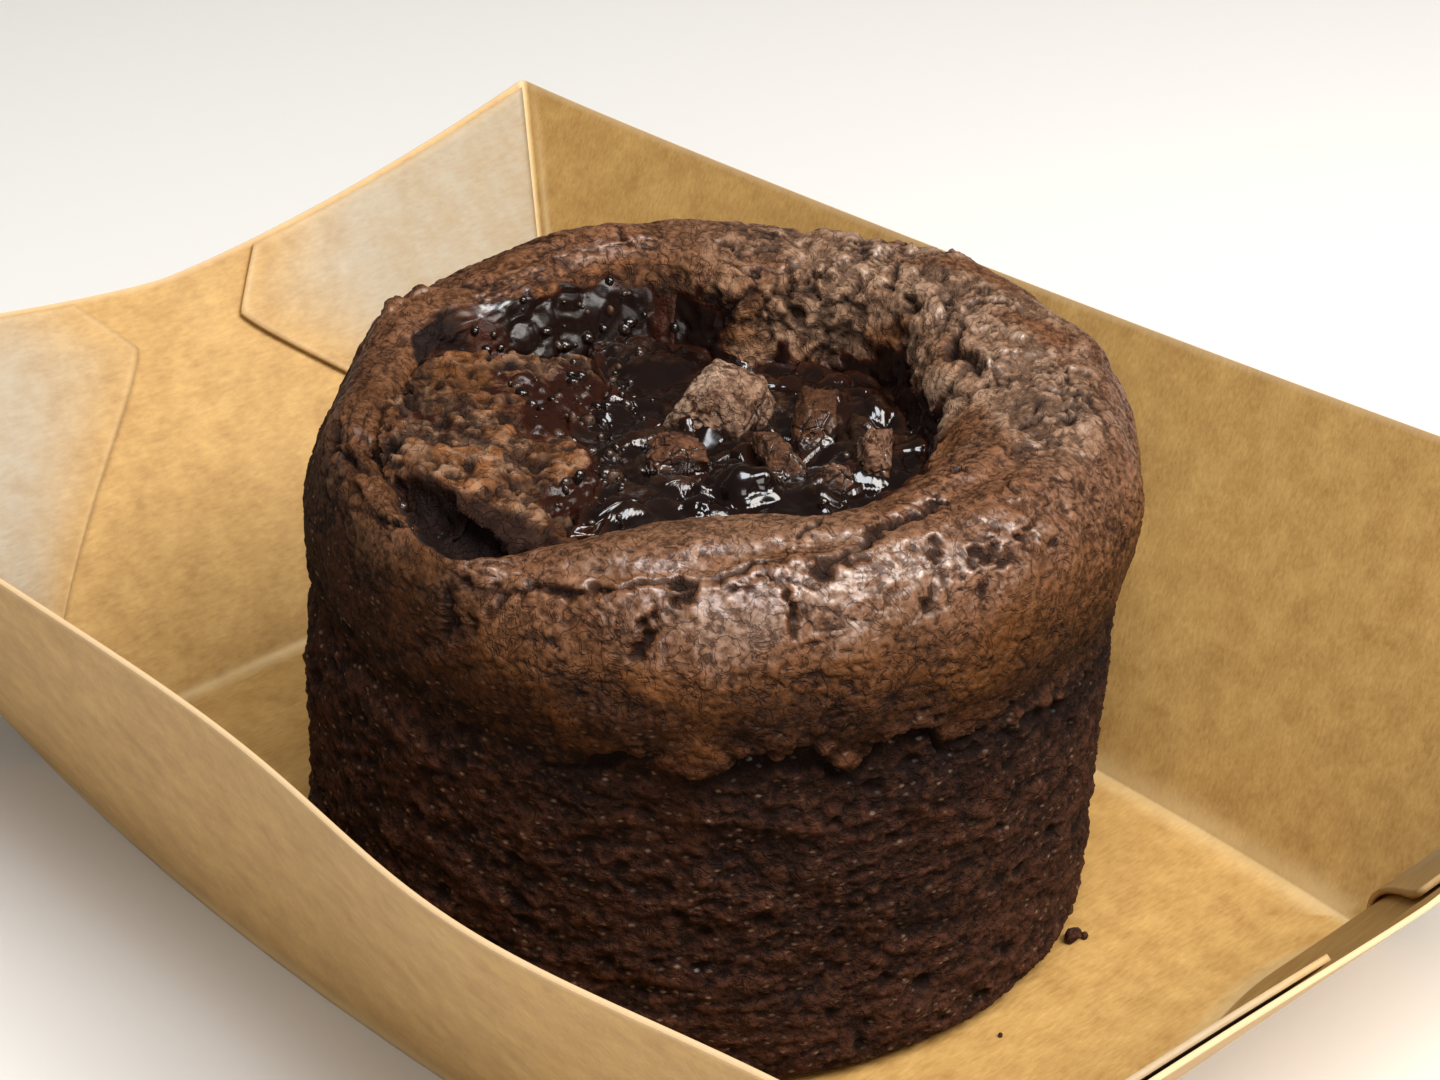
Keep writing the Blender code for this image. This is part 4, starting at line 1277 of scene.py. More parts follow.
    # The solid's own broad splits in the rim, and the finer cracks that the scene adds.
    splits: tuple = (
        Crack(((-19.0, -33.5), (-12.0, -35.6), (-4.0, -36.2), (4.0, -34.0), (12.0, -32.2)), 1.5, 0.7),
        Crack(((15.5, -29.5), (19.0, -26.0), (25.5, -20.0), (30.0, -14.0)), 1.6, 0.9),
        Crack(((26.5, 0.0), (31.0, 4.0), (37.0, 8.0), (40.5, 10.5)), 1.5, 1.0),
        Crack(((9.0, 27.0), (8.0, 31.0), (9.5, 36.0)), 1.4, 1.0),
        Crack(((17.5, 26.0), (22.5, 29.0), (24.0, 33.0)), 1.5, 0.9),
        Crack(((-37.5, -7.0), (-34.0, -9.0), (-31.0, -14.0)), 1.7, 1.4),
    )
    cracks: tuple = (
        Crack(((-23.6, -33.2), (-20.0, -34.6), (-14.5, -35.6), (-10.0, -37.0), (-5.5, -37.4), (-1.0, -37.6),
               (2.0, -37.0), (4.5, -36.2), (7.2, -36.1), (8.6, -34.6), (9.3, -32.6)), 0.42, 0.75),
        Crack(((-4.8, -40.8), (-3.4, -39.8), (-2.2, -39.6), (-0.8, -38.6)), 0.45, 0.9),
        Crack(((11.2, -29.2), (10.6, -30.8), (9.6, -32.0)), 0.35, 0.6),
        Crack(((22.3, -24.8), (20.5, -26.8), (18.2, -28.8), (16.6, -31.0), (15.0, -32.8), (12.8, -34.8),
               (11.0, -36.4)), 0.8, 0.8),
        Crack(((7.4, -37.4), (8.0, -39.2), (8.3, -40.5)), 0.4, 0.7),
        Crack(((19.8, -32.7), (21.0, -33.9), (22.6, -34.6)), 0.55, 1.0),
        Crack(((20.4, -35.8), (21.6, -34.6)), 0.45, 0.8),
        Crack(((21.7, -31.0), (21.5, -33.6)), 0.35, 0.6),
        Crack(((25.2, -31.6), (26.3, -30.6), (27.3, -30.2)), 0.35, 0.6),
        Crack(((29.8, -28.0), (31.2, -27.3)), 0.35, 0.5),
        Crack(((28.6, -20.8), (29.0, -22.4), (29.6, -23.4)), 0.35, 0.6),
        Crack(((23.9, -19.4), (25.6, -19.3)), 0.45, 0.6),
        Crack(((30.4, -10.8), (32.0, -9.4), (33.6, -7.6), (35.0, -6.6), (37.4, -5.3)), 0.5, 0.85),
        Crack(((27.6, -6.8), (28.3, -9.2)), 0.3, 0.5),
        Crack(((26.0, 10.5), (25.9, 7.5), (26.8, 4.5), (27.5, 2.2)), 0.75, 1.2),
        Crack(((30.4, 0.0), (31.2, -4.8)), 0.35, 0.6),
        Crack(((32.4, -1.4), (32.5, -4.4)), 0.4, 0.6),
        Crack(((9.4, 25.6), (9.6, 22.4)), 0.5, 1.1),
        Crack(((9.8, 23.9), (14.4, 23.4), (15.7, 22.7)), 0.32, 0.6),
        Crack(((16.4, 25.9), (17.8, 25.2)), 0.4, 0.6),
        Crack(((20.7, 25.6), (20.2, 22.4)), 0.4, 0.8),
        Crack(((24.6, 16.6), (27.5, 15.3), (31.2, 15.1)), 0.42, 0.8),
        Crack(((21.2, 19.6), (22.6, 16.6), (24.3, 13.6)), 0.4, 0.8),
        Crack(((2.4, 29.4), (3.8, 27.6), (5.4, 25.4)), 0.35, 0.6),
        Crack(((-36.6, -4.8), (-35.4, -9.6), (-33.6, -13.2), (-32.0, -15.4)), 0.8, 1.2),
        Crack(((-31.0, -5.8), (-32.4, -9.0), (-33.0, -12.8)), 0.55, 1.1),
        Crack(((-33.6, -17.6), (-31.5, -20.8), (-29.4, -23.4), (-27.6, -25.6)), 0.4, 0.7),
        Crack(((-31.5, 24.0), (-33.5, 20.0), (-36.0, 15.5)), 0.4, 0.7),
        Crack(((-8.5, 29.0), (-8.0, 31.5), (-10.0, 34.5)), 0.4, 0.8),
    )
    patches: tuple = (
        Patch(268.0, 38.3, 3.5, 2.2, 0.45, 0.95),
        Patch(287.5, 48.8, 2.8, 2.2, 0.20, 0.80),
        Patch(232.5, 44.0, 1.8, 1.1, 0.30, 0.55),
        Patch(297.0, 44.4, 2.4, 1.6, 0.15, 0.50),
        Patch(262.0, 46.5, 2.6, 1.8, 0.10, 0.40),
        Patch(307.0, 37.6, 3.0, 1.8, 0.30, 0.50),
        Patch(287.5, 36.9, 1.6, 1.0, 0.45, 0.35),
        Patch(284.5, 38.9, 1.3, 0.9, 0.40, 0.30),
        Patch(251.5, 41.5, 1.4, 2.4, 0.30, 0.20),
        Patch(120.0, 43.0, 3.0, 2.4, 0.25, 0.60),
        Patch(60.0, 39.5, 3.4, 2.0, 0.30, 0.60),
        Patch(20.0, 45.0, 2.6, 2.0, 0.20, 0.60),
    )

    def profile(self) -> Array:
        """The turned profile, before any rule moves it.

        Returns:
            (radius, height) points from the middle of the hollow to the middle of the base.
        """
        depth, rise = self.lip_height - self.hollow_height, self.crest_height - self.lip_height
        reach, drop = self.crest_radius - self.lip_radius, self.crest_height - self.widest_height
        spread, tuck = self.widest - self.crest_radius, self.widest_height - self.fold_height
        points = [(share * self.lip_radius, self.hollow_height + up * depth) for share, up in
                  ((0.0, 0.0), (0.17, 0.0), (0.33, 0.0), (0.48, 0.01), (0.62, 0.05), (0.73, 0.12),
                   (0.82, 0.24), (0.88, 0.42), (0.925, 0.62), (0.96, 0.82), (1.0, 1.0))]
        points += [(self.lip_radius + share * reach, self.lip_height + up * rise)
                   for share, up in ((0.28, 0.56), (0.62, 0.88), (1.0, 1.0))]
        points += [(self.crest_radius + spread * math.sin(turn), self.widest_height + drop * math.cos(turn))
                   for turn in np.radians((18, 34, 48, 60, 71, 81, 90))]
        points += [(self.widest - 0.15, self.widest_height - 0.35 * tuck),
                   (self.widest - 0.55, self.widest_height - 0.7 * tuck),
                   (self.body_radius, self.fold_height), (self.body_radius - 0.35, self.fold_height - 1.8)]
        points += [(self.body_radius - 0.1 + 0.2 * k / 6, (self.fold_height - 4.0) * (1 - k / 6.6))
                   for k in range(7)]
        points += [(self.body_radius - 0.2, 1.4), (self.body_radius - 1.0, 0.35),
                   (self.body_radius - 2.2, 0.0), (22.0, 0.0), (0.0, 0.0)]
        return np.array(points)

    def sections(self) -> tuple[Array, Array, Array, tuple[float, float, float]]:
        """The profile read at each row of the surface.

        The profile is sampled every tenth of a millimetre and evened over about half a millimetre each way.

        Returns:
            Each row's distance along the profile, radius and height, and the distances of the lip, the widest
            ring and the seam on the side.
        """
        knots = self.profile()
        lip_knot, widest_knot, corner_knot = 10, 20, -3
        along = np.concatenate([[0.0], np.cumsum(np.hypot(*np.diff(knots, axis=0).T))])
        step, wings = 0.1, 12
        fine = np.arange(0.0, along[-1], step)
        even = bell(np.arange(-wings, wings + 1) * step, 0.55)
        read = [np.convolve(np.pad(np.interp(fine, along, part), wings, mode="edge"), even / even.sum(),
                            mode="valid") for part in knots.T]
        down = fine > along[widest_knot]
        seam = np.interp(-self.seam_height, -read[1][down], fine[down])
        corner = along[corner_knot]
        rows = np.concatenate([
            np.linspace(1.0, self.hidden_reach, self.hidden_rows, endpoint=False),
            np.arange(self.hidden_reach, corner, self.row_step),
            np.linspace(corner, along[-1] - 4.0, self.hidden_rows),
        ])
        marks = (along[lip_knot], along[widest_knot], seam)
        return rows, np.interp(rows, fine, read[0]), np.interp(rows, fine, read[1]), marks

    def theta(self) -> Array:
        """The columns' angles in radians, which stand closer together at the front."""
        even = np.linspace(0.0, 2 * math.pi, self.columns, endpoint=False)
        return even - self.front_crowding * np.sin(even - math.radians(270.0))

    def slab_height(self, x: Array, y: Array, degrees: Array, inside: Array) -> tuple[Array, Array]:
        """The fallen slab: a plank that is one with the left rim and split from the rest of it.

        Args:
            x: places across.
            y: places away.
            degrees: their angle.
            inside: how far inside the hollow's edge they are.

        Returns:
            The slab's height, and its share of the surface.
        """
        along = np.clip((x - self.slab_hinge_x) / (self.slab_edge_x - self.slab_hinge_x), 0.0, 1.3)
        height = self.slab_high + (self.slab_low - self.slab_high) * along
        height = height - 0.9 * smooth(0.0, 16.0, np.abs(y + 2.0))
        flat = np.stack([x, y, np.zeros_like(x)], axis=-1)
        x = x + self.slab_raggedness * (fractal(flat, 5.0, 3, 145) + lattice_noise(flat, 7.0, 146))
        inside = inside + 0.5 * self.slab_raggedness * fractal(flat, 4.0, 3, 148)
        clear = smooth(-self.slab_step, self.slab_step, inside - round_curve(self.trench, degrees))
        edge = 1 - smooth(self.slab_edge_x, self.slab_edge_x + self.slab_slope_run, x)
        return height, edge * clear

    def form(self) -> Form:
        """The profile, turned and moved by the solid's own rules.

        The hollow's edge follows lip_outline, the crest and the shoulder their curves, and the slab lies in
        the hollow. Noise of a few millimetres makes the crags, and the left side is pinched in at the fold.

        Returns:
            The form on the fine grid.
        """
        along, radius, z, (lip_at, widest_at, seam_at) = self.sections()
        theta = self.theta()[None, :]
        radius, z, along = radius[:, None], z[:, None], along[:, None]
        degrees = np.mod(np.degrees(theta), 360.0)
        lip = round_curve(self.lip_outline, degrees)
        on_top = (along <= widest_at).astype(float)
        hollow = 1 - smooth(lip_at - 0.6, lip_at + 1.6, along)
        outer = lip + (radius - self.lip_radius) * (self.widest - lip) / (self.widest - self.lip_radius)
        shaped = np.where(along <= lip_at, radius * lip / self.lip_radius, outer)
        new_radius = np.where(on_top > 0, shaped, radius)
        rim = smooth(self.lip_radius * 0.86, self.lip_radius, radius)
        rim = rim * smooth(self.widest_height, self.crest_height - 4.0, z) * on_top
        new_z = z + round_curve(self.crest_change, degrees) * rim
        x, y = new_radius * np.cos(theta), new_radius * np.sin(theta)
        slab, slab_share = self.slab_height(x, y, degrees, lip - new_radius)
        slab_share = slab_share * hollow
        new_z = new_z + slab_share * (slab - new_z)
        for split in self.splits:
            new_z = new_z - split.depth * bell(line_distance(x, y, split.points), split.half_width) * on_top
        place = np.stack([x, y, new_z], axis=-1)
        lumps = lattice_noise(place, 9.0, 21) * 0.55 + lattice_noise(place, 4.6, 22) * 0.35
        grain = lattice_noise(place * (1.0, 1.0, 1.6), 5.0, 23) * 0.34 + lattice_noise(place, 14.0, 24) * 0.4
        crust = smooth(self.fold_height - 1.0, self.fold_height + 5.0, z)
        outside = 1 - hollow
        outward = lumps * crust * (1 - 0.6 * smooth(50.0, 56.0, z)) + grain * (1 - crust)
        outward = outward * smooth(0.0, 5.0, z) * outside
        upward = lumps * on_top * smooth(48.0, 53.0, z)
        pinch = 0.9 * bell(z - self.fold_height + 2.0, 2.4) + 0.7 * smooth(36.0, 42.0, z)
        outward = outward - between(degrees, *self.pinched_side) * pinch * outside
        swell = round_curve(self.shoulder_swell, degrees)
        swell = swell * smooth(self.widest_height - 2.0, self.widest_height + 6.0, z)
        outward = outward + swell * smooth(self.lip_radius + 3.0, self.crest_radius + 3.0, radius)
        new_radius = new_radius + outward
        place = np.stack([new_radius * np.cos(theta) + LEAN * new_z, new_radius * np.sin(theta),
                          new_z + upward], axis=-1)
        every = np.ones(place.shape[:2])
        parts = [part * every for part in (degrees, lip - new_radius, along, slab_share, hollow, on_top)]
        return Form(place, *parts, lip_at, seam_at)

    def surface(self) -> Surface:
        """Adds the relief, which moves each place along the form's normal.

        Returns:
            The finished surface.
        """
        form = self.form()
        across = np.roll(form.place, -1, axis=1) - np.roll(form.place, 1, axis=1)
        normal = np.cross(np.gradient(form.place, axis=0), across)
        normal /= np.linalg.norm(normal, axis=-1, keepdims=True) + 1e-9
        relief = Relief(self, form)
        return Surface(form.place + normal * relief.total()[..., None], relief.masks(), form)

    def piece(self, name: str, finish: Material, surface: Surface, rows: Array,
              hidden: dict[int, Array], seams: tuple[int, ...], poles: tuple | None = None) -> None:
        """Makes one closed piece of the souffle.

        Args:
            name: the piece's name.
            finish: its material.
            surface: the finished surface.
            rows: which of its rows the piece has, in order.
            hidden: those of them, by their place in that order, that go to other places inside the souffle.
            seams: the rows where it turns inwards.
            poles: the places that close its first and last rows; without them those rows join each other.
        """
        place = surface.place[rows]
        for row, places in hidden.items():
            place[row] = places
        masks = {n: m[rows] for n, m in surface.masks.items()}
        poles = None if poles is None else to_world(np.array(poles))
        add_piece(closed_mesh(name, to_world(place), masks, poles, seams), finish, Slot.BAKED, "souffle")

    def build(self) -> Surface:
        """Makes the hollow with its slab, the crust's ring and the side, which meet along shared rows.

        Returns:
            The finished surface, for what lies on it.
        """
        surface = self.surface()
        place, form = surface.place, surface.form
        rim, seam = np.searchsorted(form.along[:, 0], (form.lip_at + 1.4, form.seam_at))
        tucked = place[seam] * (self.tuck, self.tuck, 1.0)
        core = place[rim] * (1.0, 1.0, 0.0) + (0.0, 0.0, self.core_height)
        self.piece("souffle_hollow", self.hollow_finish, surface, np.r_[0:rim + 1, rim], {-1: core}, (rim,),
                   (place[0].mean(axis=0), (1.0, 0.0, self.core_height - 2.0)))
        self.piece("souffle_crust", self.crust_finish, surface, np.r_[rim:seam + 1, seam, rim],
                   {-2: tucked, -1: core - (0.0, 0.0, 1.0)}, (0, seam - rim))
        self.piece("souffle_side", self.crust_finish, surface, np.r_[seam, seam:len(place)], {0: tucked},
                   (1,), ((1.0, 0.0, self.seam_height - 1.4), (0.0, 0.0, 0.0)))
        return surface

    def bed_height(self, x: Array, y: Array) -> Array:
        """Height of the hollow's form, without its relief.

        Args:
            x: places across.
            y: places away.

        Returns:
            The height over each place.
        """
        x = x - LEAN * MELT_LEVEL
        theta, reach = np.arctan2(y, x), np.hypot(x, y)
        degrees = np.mod(np.degrees(theta), 360.0)
        lip = round_curve(self.lip_outline, degrees)
        knots = self.profile()[:14]
        height = np.interp(reach * self.lip_radius / lip, knots[:, 0], knots[:, 1])
        slab, share = self.slab_height(x, y, degrees, lip - reach)
        return height + share * (reach < lip) * (slab - height)


# Molten chocolate

@dataclass(frozen=True)
class Lump(Oval):
    """A rounded lump in the chocolate: an oval with its rise and how much crumb shows in it."""

    rise: float
    crumb: float


@dataclass
class ChocolatePool:
    """The molten middle: spokes from its centre to where its level meets the souffle, lumpy on top."""

    souffle: Souffle
    molten: Material
    centre: tuple = (5.0, -1.0)
    lump_height: float = 0.9
    edge_drop: float = 0.5
    buried: float = 1.3                 # how far its edge runs on inside the souffle
    spokes: int = 420
    rings: int = 130
    floor_rings: int = 12
    floor_clearance: float = 0.4
    lumps: tuple = (
        Lump(3.6, -7.6, 4.6, 3.6, 2.0, 0.0),
        Lump(5.2, -10.4, 3.2, 2.2, 0.9, 0.0),
        Lump(0.4, -12.6, 2.4, 1.6, 0.8, 0.0),
        Lump(-3.0, -3.4, 3.6, 2.6, 1.3, 0.75),
        Lump(-2.4, -7.4, 2.6, 2.0, 0.8, 0.45),
        Lump(-6.0, 1.8, 2.2, 2.4, 0.8, 0.30),
        Lump(12.4, -10.8, 2.4, 1.6, 0.8, 0.35),
        Lump(8.8, 7.6, 3.2, 2.6, 0.8, 0.65),
        Lump(12.2, 9.8, 2.6, 2.0, 0.7, 0.45),
        Lump(16.2, 4.6, 1.4, 3.6, 0.9, 0.35),
        Lump(18.2, 9.0, 1.6, 2.2, 0.7, 0.20),
        Lump(-7.6, -14.6, 3.0, 1.8, 0.9, 0.15),
        Lump(-12.4, -13.6, 2.4, 2.0, 0.9, 0.25),
        Lump(-4.0, 11.6, 3.0, 1.6, 0.6, 0.0),
    )

    def top(self, x: Array, y: Array) -> Array:
        """The chocolate's level with the solid's soft lumps on it.

        Args:
            x: places across.
            y: places away.

        Returns:
            The height at each place.
        """
        place = np.stack([x, y, np.zeros_like(x)], axis=-1)
        lumps = lattice_noise(place, 5.2, 31) + 0.4 * lattice_noise(place, 2.9, 32)
        return MELT_LEVEL + self.lump_height * lumps

    def reach(self, turn: Array) -> Array:
        """How far the chocolate reaches before its level meets the souffle, evened over a few spokes.

        Args:
            turn: directions from the centre, in radians.

        Returns:
            The reach in each direction.
        """
        steps = np.arange(2.0, 32.0, 0.1)
        x = self.centre[0] + np.outer(np.cos(turn), steps)
        y = self.centre[1] + np.outer(np.sin(turn), steps)
        under = self.souffle.bed_height(x, y) < MELT_LEVEL - self.edge_drop
        edge = steps[np.argmin(under, axis=1)]
        even = np.pad(edge, 6, mode="wrap")
        return np.convolve(even, np.full(13, 1 / 13), mode="valid")

    def relief(self, x: Array, y: Array, share: Array) -> tuple[Array, Masks]:
        """Rounded beads, crumb lumps and the raised edge, added to the top.

        Args:
            x: places across.
            y: places away.
            share: 0 at the centre and 1 at the edge.

        Returns:
            The rise, and the masks thin and crumb.
        """
        place = np.stack([x, y, np.zeros_like(x)], axis=-1)
        warp = drift(place, 2.6, 170)
        beads = Cells(place + 0.7 * warp, 3.0, 173)
        beady = smooth(-0.25, 0.35, fractal(place, 6.0, 2, 179) + 0.5 * smooth(0.55, 0.95, share))
        rise = beady * beads.lumps(1.3, 0.8)
        fine = Cells(place + 0.7 * warp + 9.0, 1.4, 183)
        rise += fine.lumps(0.30) * smooth(0.15, 0.6, fractal(place, 3.0, 2, 187))
        crumb = np.zeros_like(x)
        for lump in self.lumps:
            spread = lump.spread(x, y) + 0.30 * warp[..., 0]
            rise += lump.rise * np.clip(1.0 - spread ** 2, 0.0, 1.0) ** 0.7
            crumb = np.maximum(crumb, lump.crumb * smooth(1.1, 0.6, spread))
        rough = fractal(place, 1.5, 3, 191)
        rise += crumb * (0.5 * rough + fine.lumps(0.3))
        raised_edge = 0.35 * smooth(0.90, 1.0, share)
        thin = np.clip(0.6 * smooth(0.94, 1.0, share) + 0.3 * (beads.own > 0.7) * beady, 0.0, 1.0)
        crumb = np.clip(crumb * smooth(-0.5, 0.3, rough) + 0.25 * (fine.own > 0.86) * beady, 0.0, 1.0)
        return rise + raised_edge, {"thin": thin, "crumb": crumb}

    def surface(self) -> tuple[Array, Array, Masks]:
        """The chocolate's upper side, from its centre to its edge.

        Returns:
            Its rings of places, their shares of the reach that shows, and the masks.
        """
        turn = np.linspace(0.0, 2 * math.pi, self.spokes, endpoint=False)
        reach = self.reach(turn) + self.buried
        share = (np.arange(self.rings) + 1.0)[:, None] / self.rings
        x = self.centre[0] + share * reach * np.cos(turn)
        y = self.centre[1] + share * reach * np.sin(turn)
        visible = share * reach / (reach - self.buried)
        rise, masks = self.relief(x, y, visible)
        past = np.maximum(visible - 1.0, 0.0) * (reach - self.buried)
        at_edge = smooth(0.8, 1.0, visible)
        level = 0.4 * self.top(x, y) + 0.6 * (MELT_LEVEL - 0.5 * self.edge_drop)
        top = self.top(x, y) * (1 - at_edge) + at_edge * level
        return np.stack([x, y, top + rise - 0.9 * past], axis=-1), visible, masks

    def build(self) -> None:
        """The pool as one closed piece, whose underside follows the hollow's floor."""
        top, _, masks = self.surface()
        pick = np.linspace(self.rings - 1, 4, self.floor_rings).astype(int)
        floor = top[pick].copy()
        bed = self.souffle.bed_height(floor[..., 0], floor[..., 1]) + self.floor_clearance
        floor[..., 2] = np.minimum(floor[..., 2] - 0.8, np.maximum(bed, floor[..., 2] - 6.0))
        poles = np.stack([top[0].mean(axis=0), floor[-1].mean(axis=0)])
        layers = {n: np.concatenate([m, m[pick]]) for n, m in masks.items()}
        mesh = closed_mesh("chocolate_pool", to_world(np.concatenate([top, floor])), layers, to_world(poles))
        add_piece(mesh, self.molten, Slot.MOLTEN, "molten_chocolate")


# Torn crumb

@dataclass(frozen=True)
class Chunk:
    """A torn block of sponge: node, centre, size, turn and tilt in degrees, how deep it sits, and noise seed.

    Then the height over the chocolate to which it is soaked, and how pale and how amber its broken faces are.
    """

    node: str
    centre: tuple
    size: tuple
    turn: float
    tilt: float
    sink: float
    seed: int
    soaked: float
    pale: float
    amber: float


@dataclass
class TornCrumbs:
    """The six pieces of sponge in the chocolate."""

    torn: Material
    rows: int = 96
    columns: int = 150
    cuts: int = 5
    edge_power: float = 26.0
    taper: float = 0.18
    chunks: tuple = (
        Chunk("crumb_wedge", (3.0, 7.4), (8.8, 9.0, 6.0), -24.0, 14.0, 2.2, 3, 0.4, 0.80, 0.0),
        Chunk("crumb_tail", (7.6, -2.8), (3.6, 7.0, 4.2), 18.0, -6.0, 1.8, 5, 0.6, 0.15, 0.5),
        Chunk("crumb_streaked", (11.6, 4.6), (4.4, 8.2, 4.4), -8.0, 8.0, 1.8, 8, 1.2, 0.0, 0.85),
        Chunk("crumb_right", (17.4, -3.2), (3.8, 8.0, 4.8), -6.0, 8.0, 1.8, 11, 0.6, 0.45, 0.0),
        Chunk("crumb_small", (13.2, -7.2), (3.4, 3.4, 3.2), 20.0, 6.0, 1.6, 17, 0.8, 0.3, 0.0),
        Chunk("crumb_front", (-2.2, -2.8), (6.4, 5.8, 3.6), 12.0, 6.0, 1.6, 14, 1.2, 0.0, 0.3),
    )

    def facets(self, chunk: Chunk, ray: Array) -> Array:
        """How far a broken cube's faces lie along each ray.

        Its six faces are tilted at random and a few random cuts take off its corners. With s each face's
        slope along the ray over its distance, the reach is 1 / (sum of s to the power p) to the power 1 / p,
        so that the edges are a little rounded.

        Args:
            chunk: which block.
            ray: unit directions (..., 3).

        Returns:
            The reach along each ray (..., 1).
        """
        pick = np.random.default_rng(chunk.seed)
        faces = np.concatenate([np.eye(3), -np.eye(3)]) + pick.uniform(-0.2, 0.2, (6, 3))
        cuts = pick.normal(size=(self.cuts, 3))
        cuts[:, 2] = np.abs(cuts[:, 2])
        faces = np.concatenate([faces, cuts])
        faces /= np.linalg.norm(faces, axis=1, keepdims=True)
        distance = np.concatenate([np.full(6, 0.97), pick.uniform(0.88, 1.15, self.cuts)])
        slope = np.maximum(ray @ (faces / distance[:, None]).T, 0.0)
        return (slope ** self.edge_power).sum(axis=-1, keepdims=True) ** (-1 / self.edge_power)

    def block(self, chunk: Chunk) -> tuple[Array, Masks]:
        """A block's places: a broken cube, narrower at the top, pushed about by noise and torn by pits.

        Args:
            chunk: which block.

        Returns:
            Its rows of places in the souffle's frame, and its masks pale, amber and glaze.
        """
        ray = ball(self.rows, self.columns)
        block = ray * self.facets(chunk, ray)
        taper = 1.0 - self.taper * block[..., 2:]
        block = block * np.concatenate([taper, taper, np.ones_like(taper)], axis=-1)
        block = block * np.array(chunk.size) / 2
        out = block / np.linalg.norm(block, axis=-1, keepdims=True)
        shifted = block + 40.0 * chunk.seed
        plates = Cells(shifted * (1.0, 1.0, 0.7), 1.9, 210 + chunk.seed)
        grains = Cells(shifted, 0.8, 240 + chunk.seed)
        push = 0.22 * lattice_noise(shifted, 3.4, chunk.seed) + plates.lumps(0.0, 0.22)
        push += 0.22 * fractal(shifted, 1.2, 3, 220 + chunk.seed) - 0.20 * plates.split(0.08)
        push += grains.lumps(0.16) - 0.30 * (grains.own > 0.82) * smooth(0.5, 0.2, grains.near)
        points = block + out * push[..., None]
        a, b = math.radians(chunk.turn), math.radians(chunk.tilt)
        lean = np.array([[math.cos(b), 0, math.sin(b)], [0, 1, 0], [-math.sin(b), 0, math.cos(b)]])
        spin = np.array([[math.cos(a), -math.sin(a), 0], [math.sin(a), math.cos(a), 0], [0, 0, 1]])
        points = points @ lean.T @ spin.T
        foot = MELT_LEVEL - chunk.sink
        points = points + (chunk.centre[0], chunk.centre[1], foot - points[..., 2].min())
        line = MELT_LEVEL + chunk.soaked + 0.9 * fractal(points, 2.0, 2, 230 + chunk.seed)
        glaze = smooth(0.5, -0.4, points[..., 2] - line)
        glaze = np.maximum(glaze, 0.8 * plates.split(0.10) * (points[..., 2] < line + 1.6))
        leftward = smooth(0.1, 0.7, -out[..., 0])
        pale = chunk.pale * (0.7 + 0.6 * leftward) * (0.7 + 0.3 * smooth(-0.3, 0.3, plates.own - 0.5))
        return points, {"glaze": glaze, "pale": pale, "amber": np.full_like(pale, chunk.amber)}

    def build(self) -> None:
        """Makes each block as its own closed piece."""
        for chunk in self.chunks:
            points, masks = self.block(chunk)
            poles = np.stack([points[0].mean(axis=0), points[-1].mean(axis=0)])
            name = "torn_" + chunk.node.removeprefix("crumb_")
            mesh = closed_mesh(name, to_world(points), masks, to_world(poles))
            add_piece(mesh, self.torn, Slot.TORN, chunk.node)


# Scattered crumbs

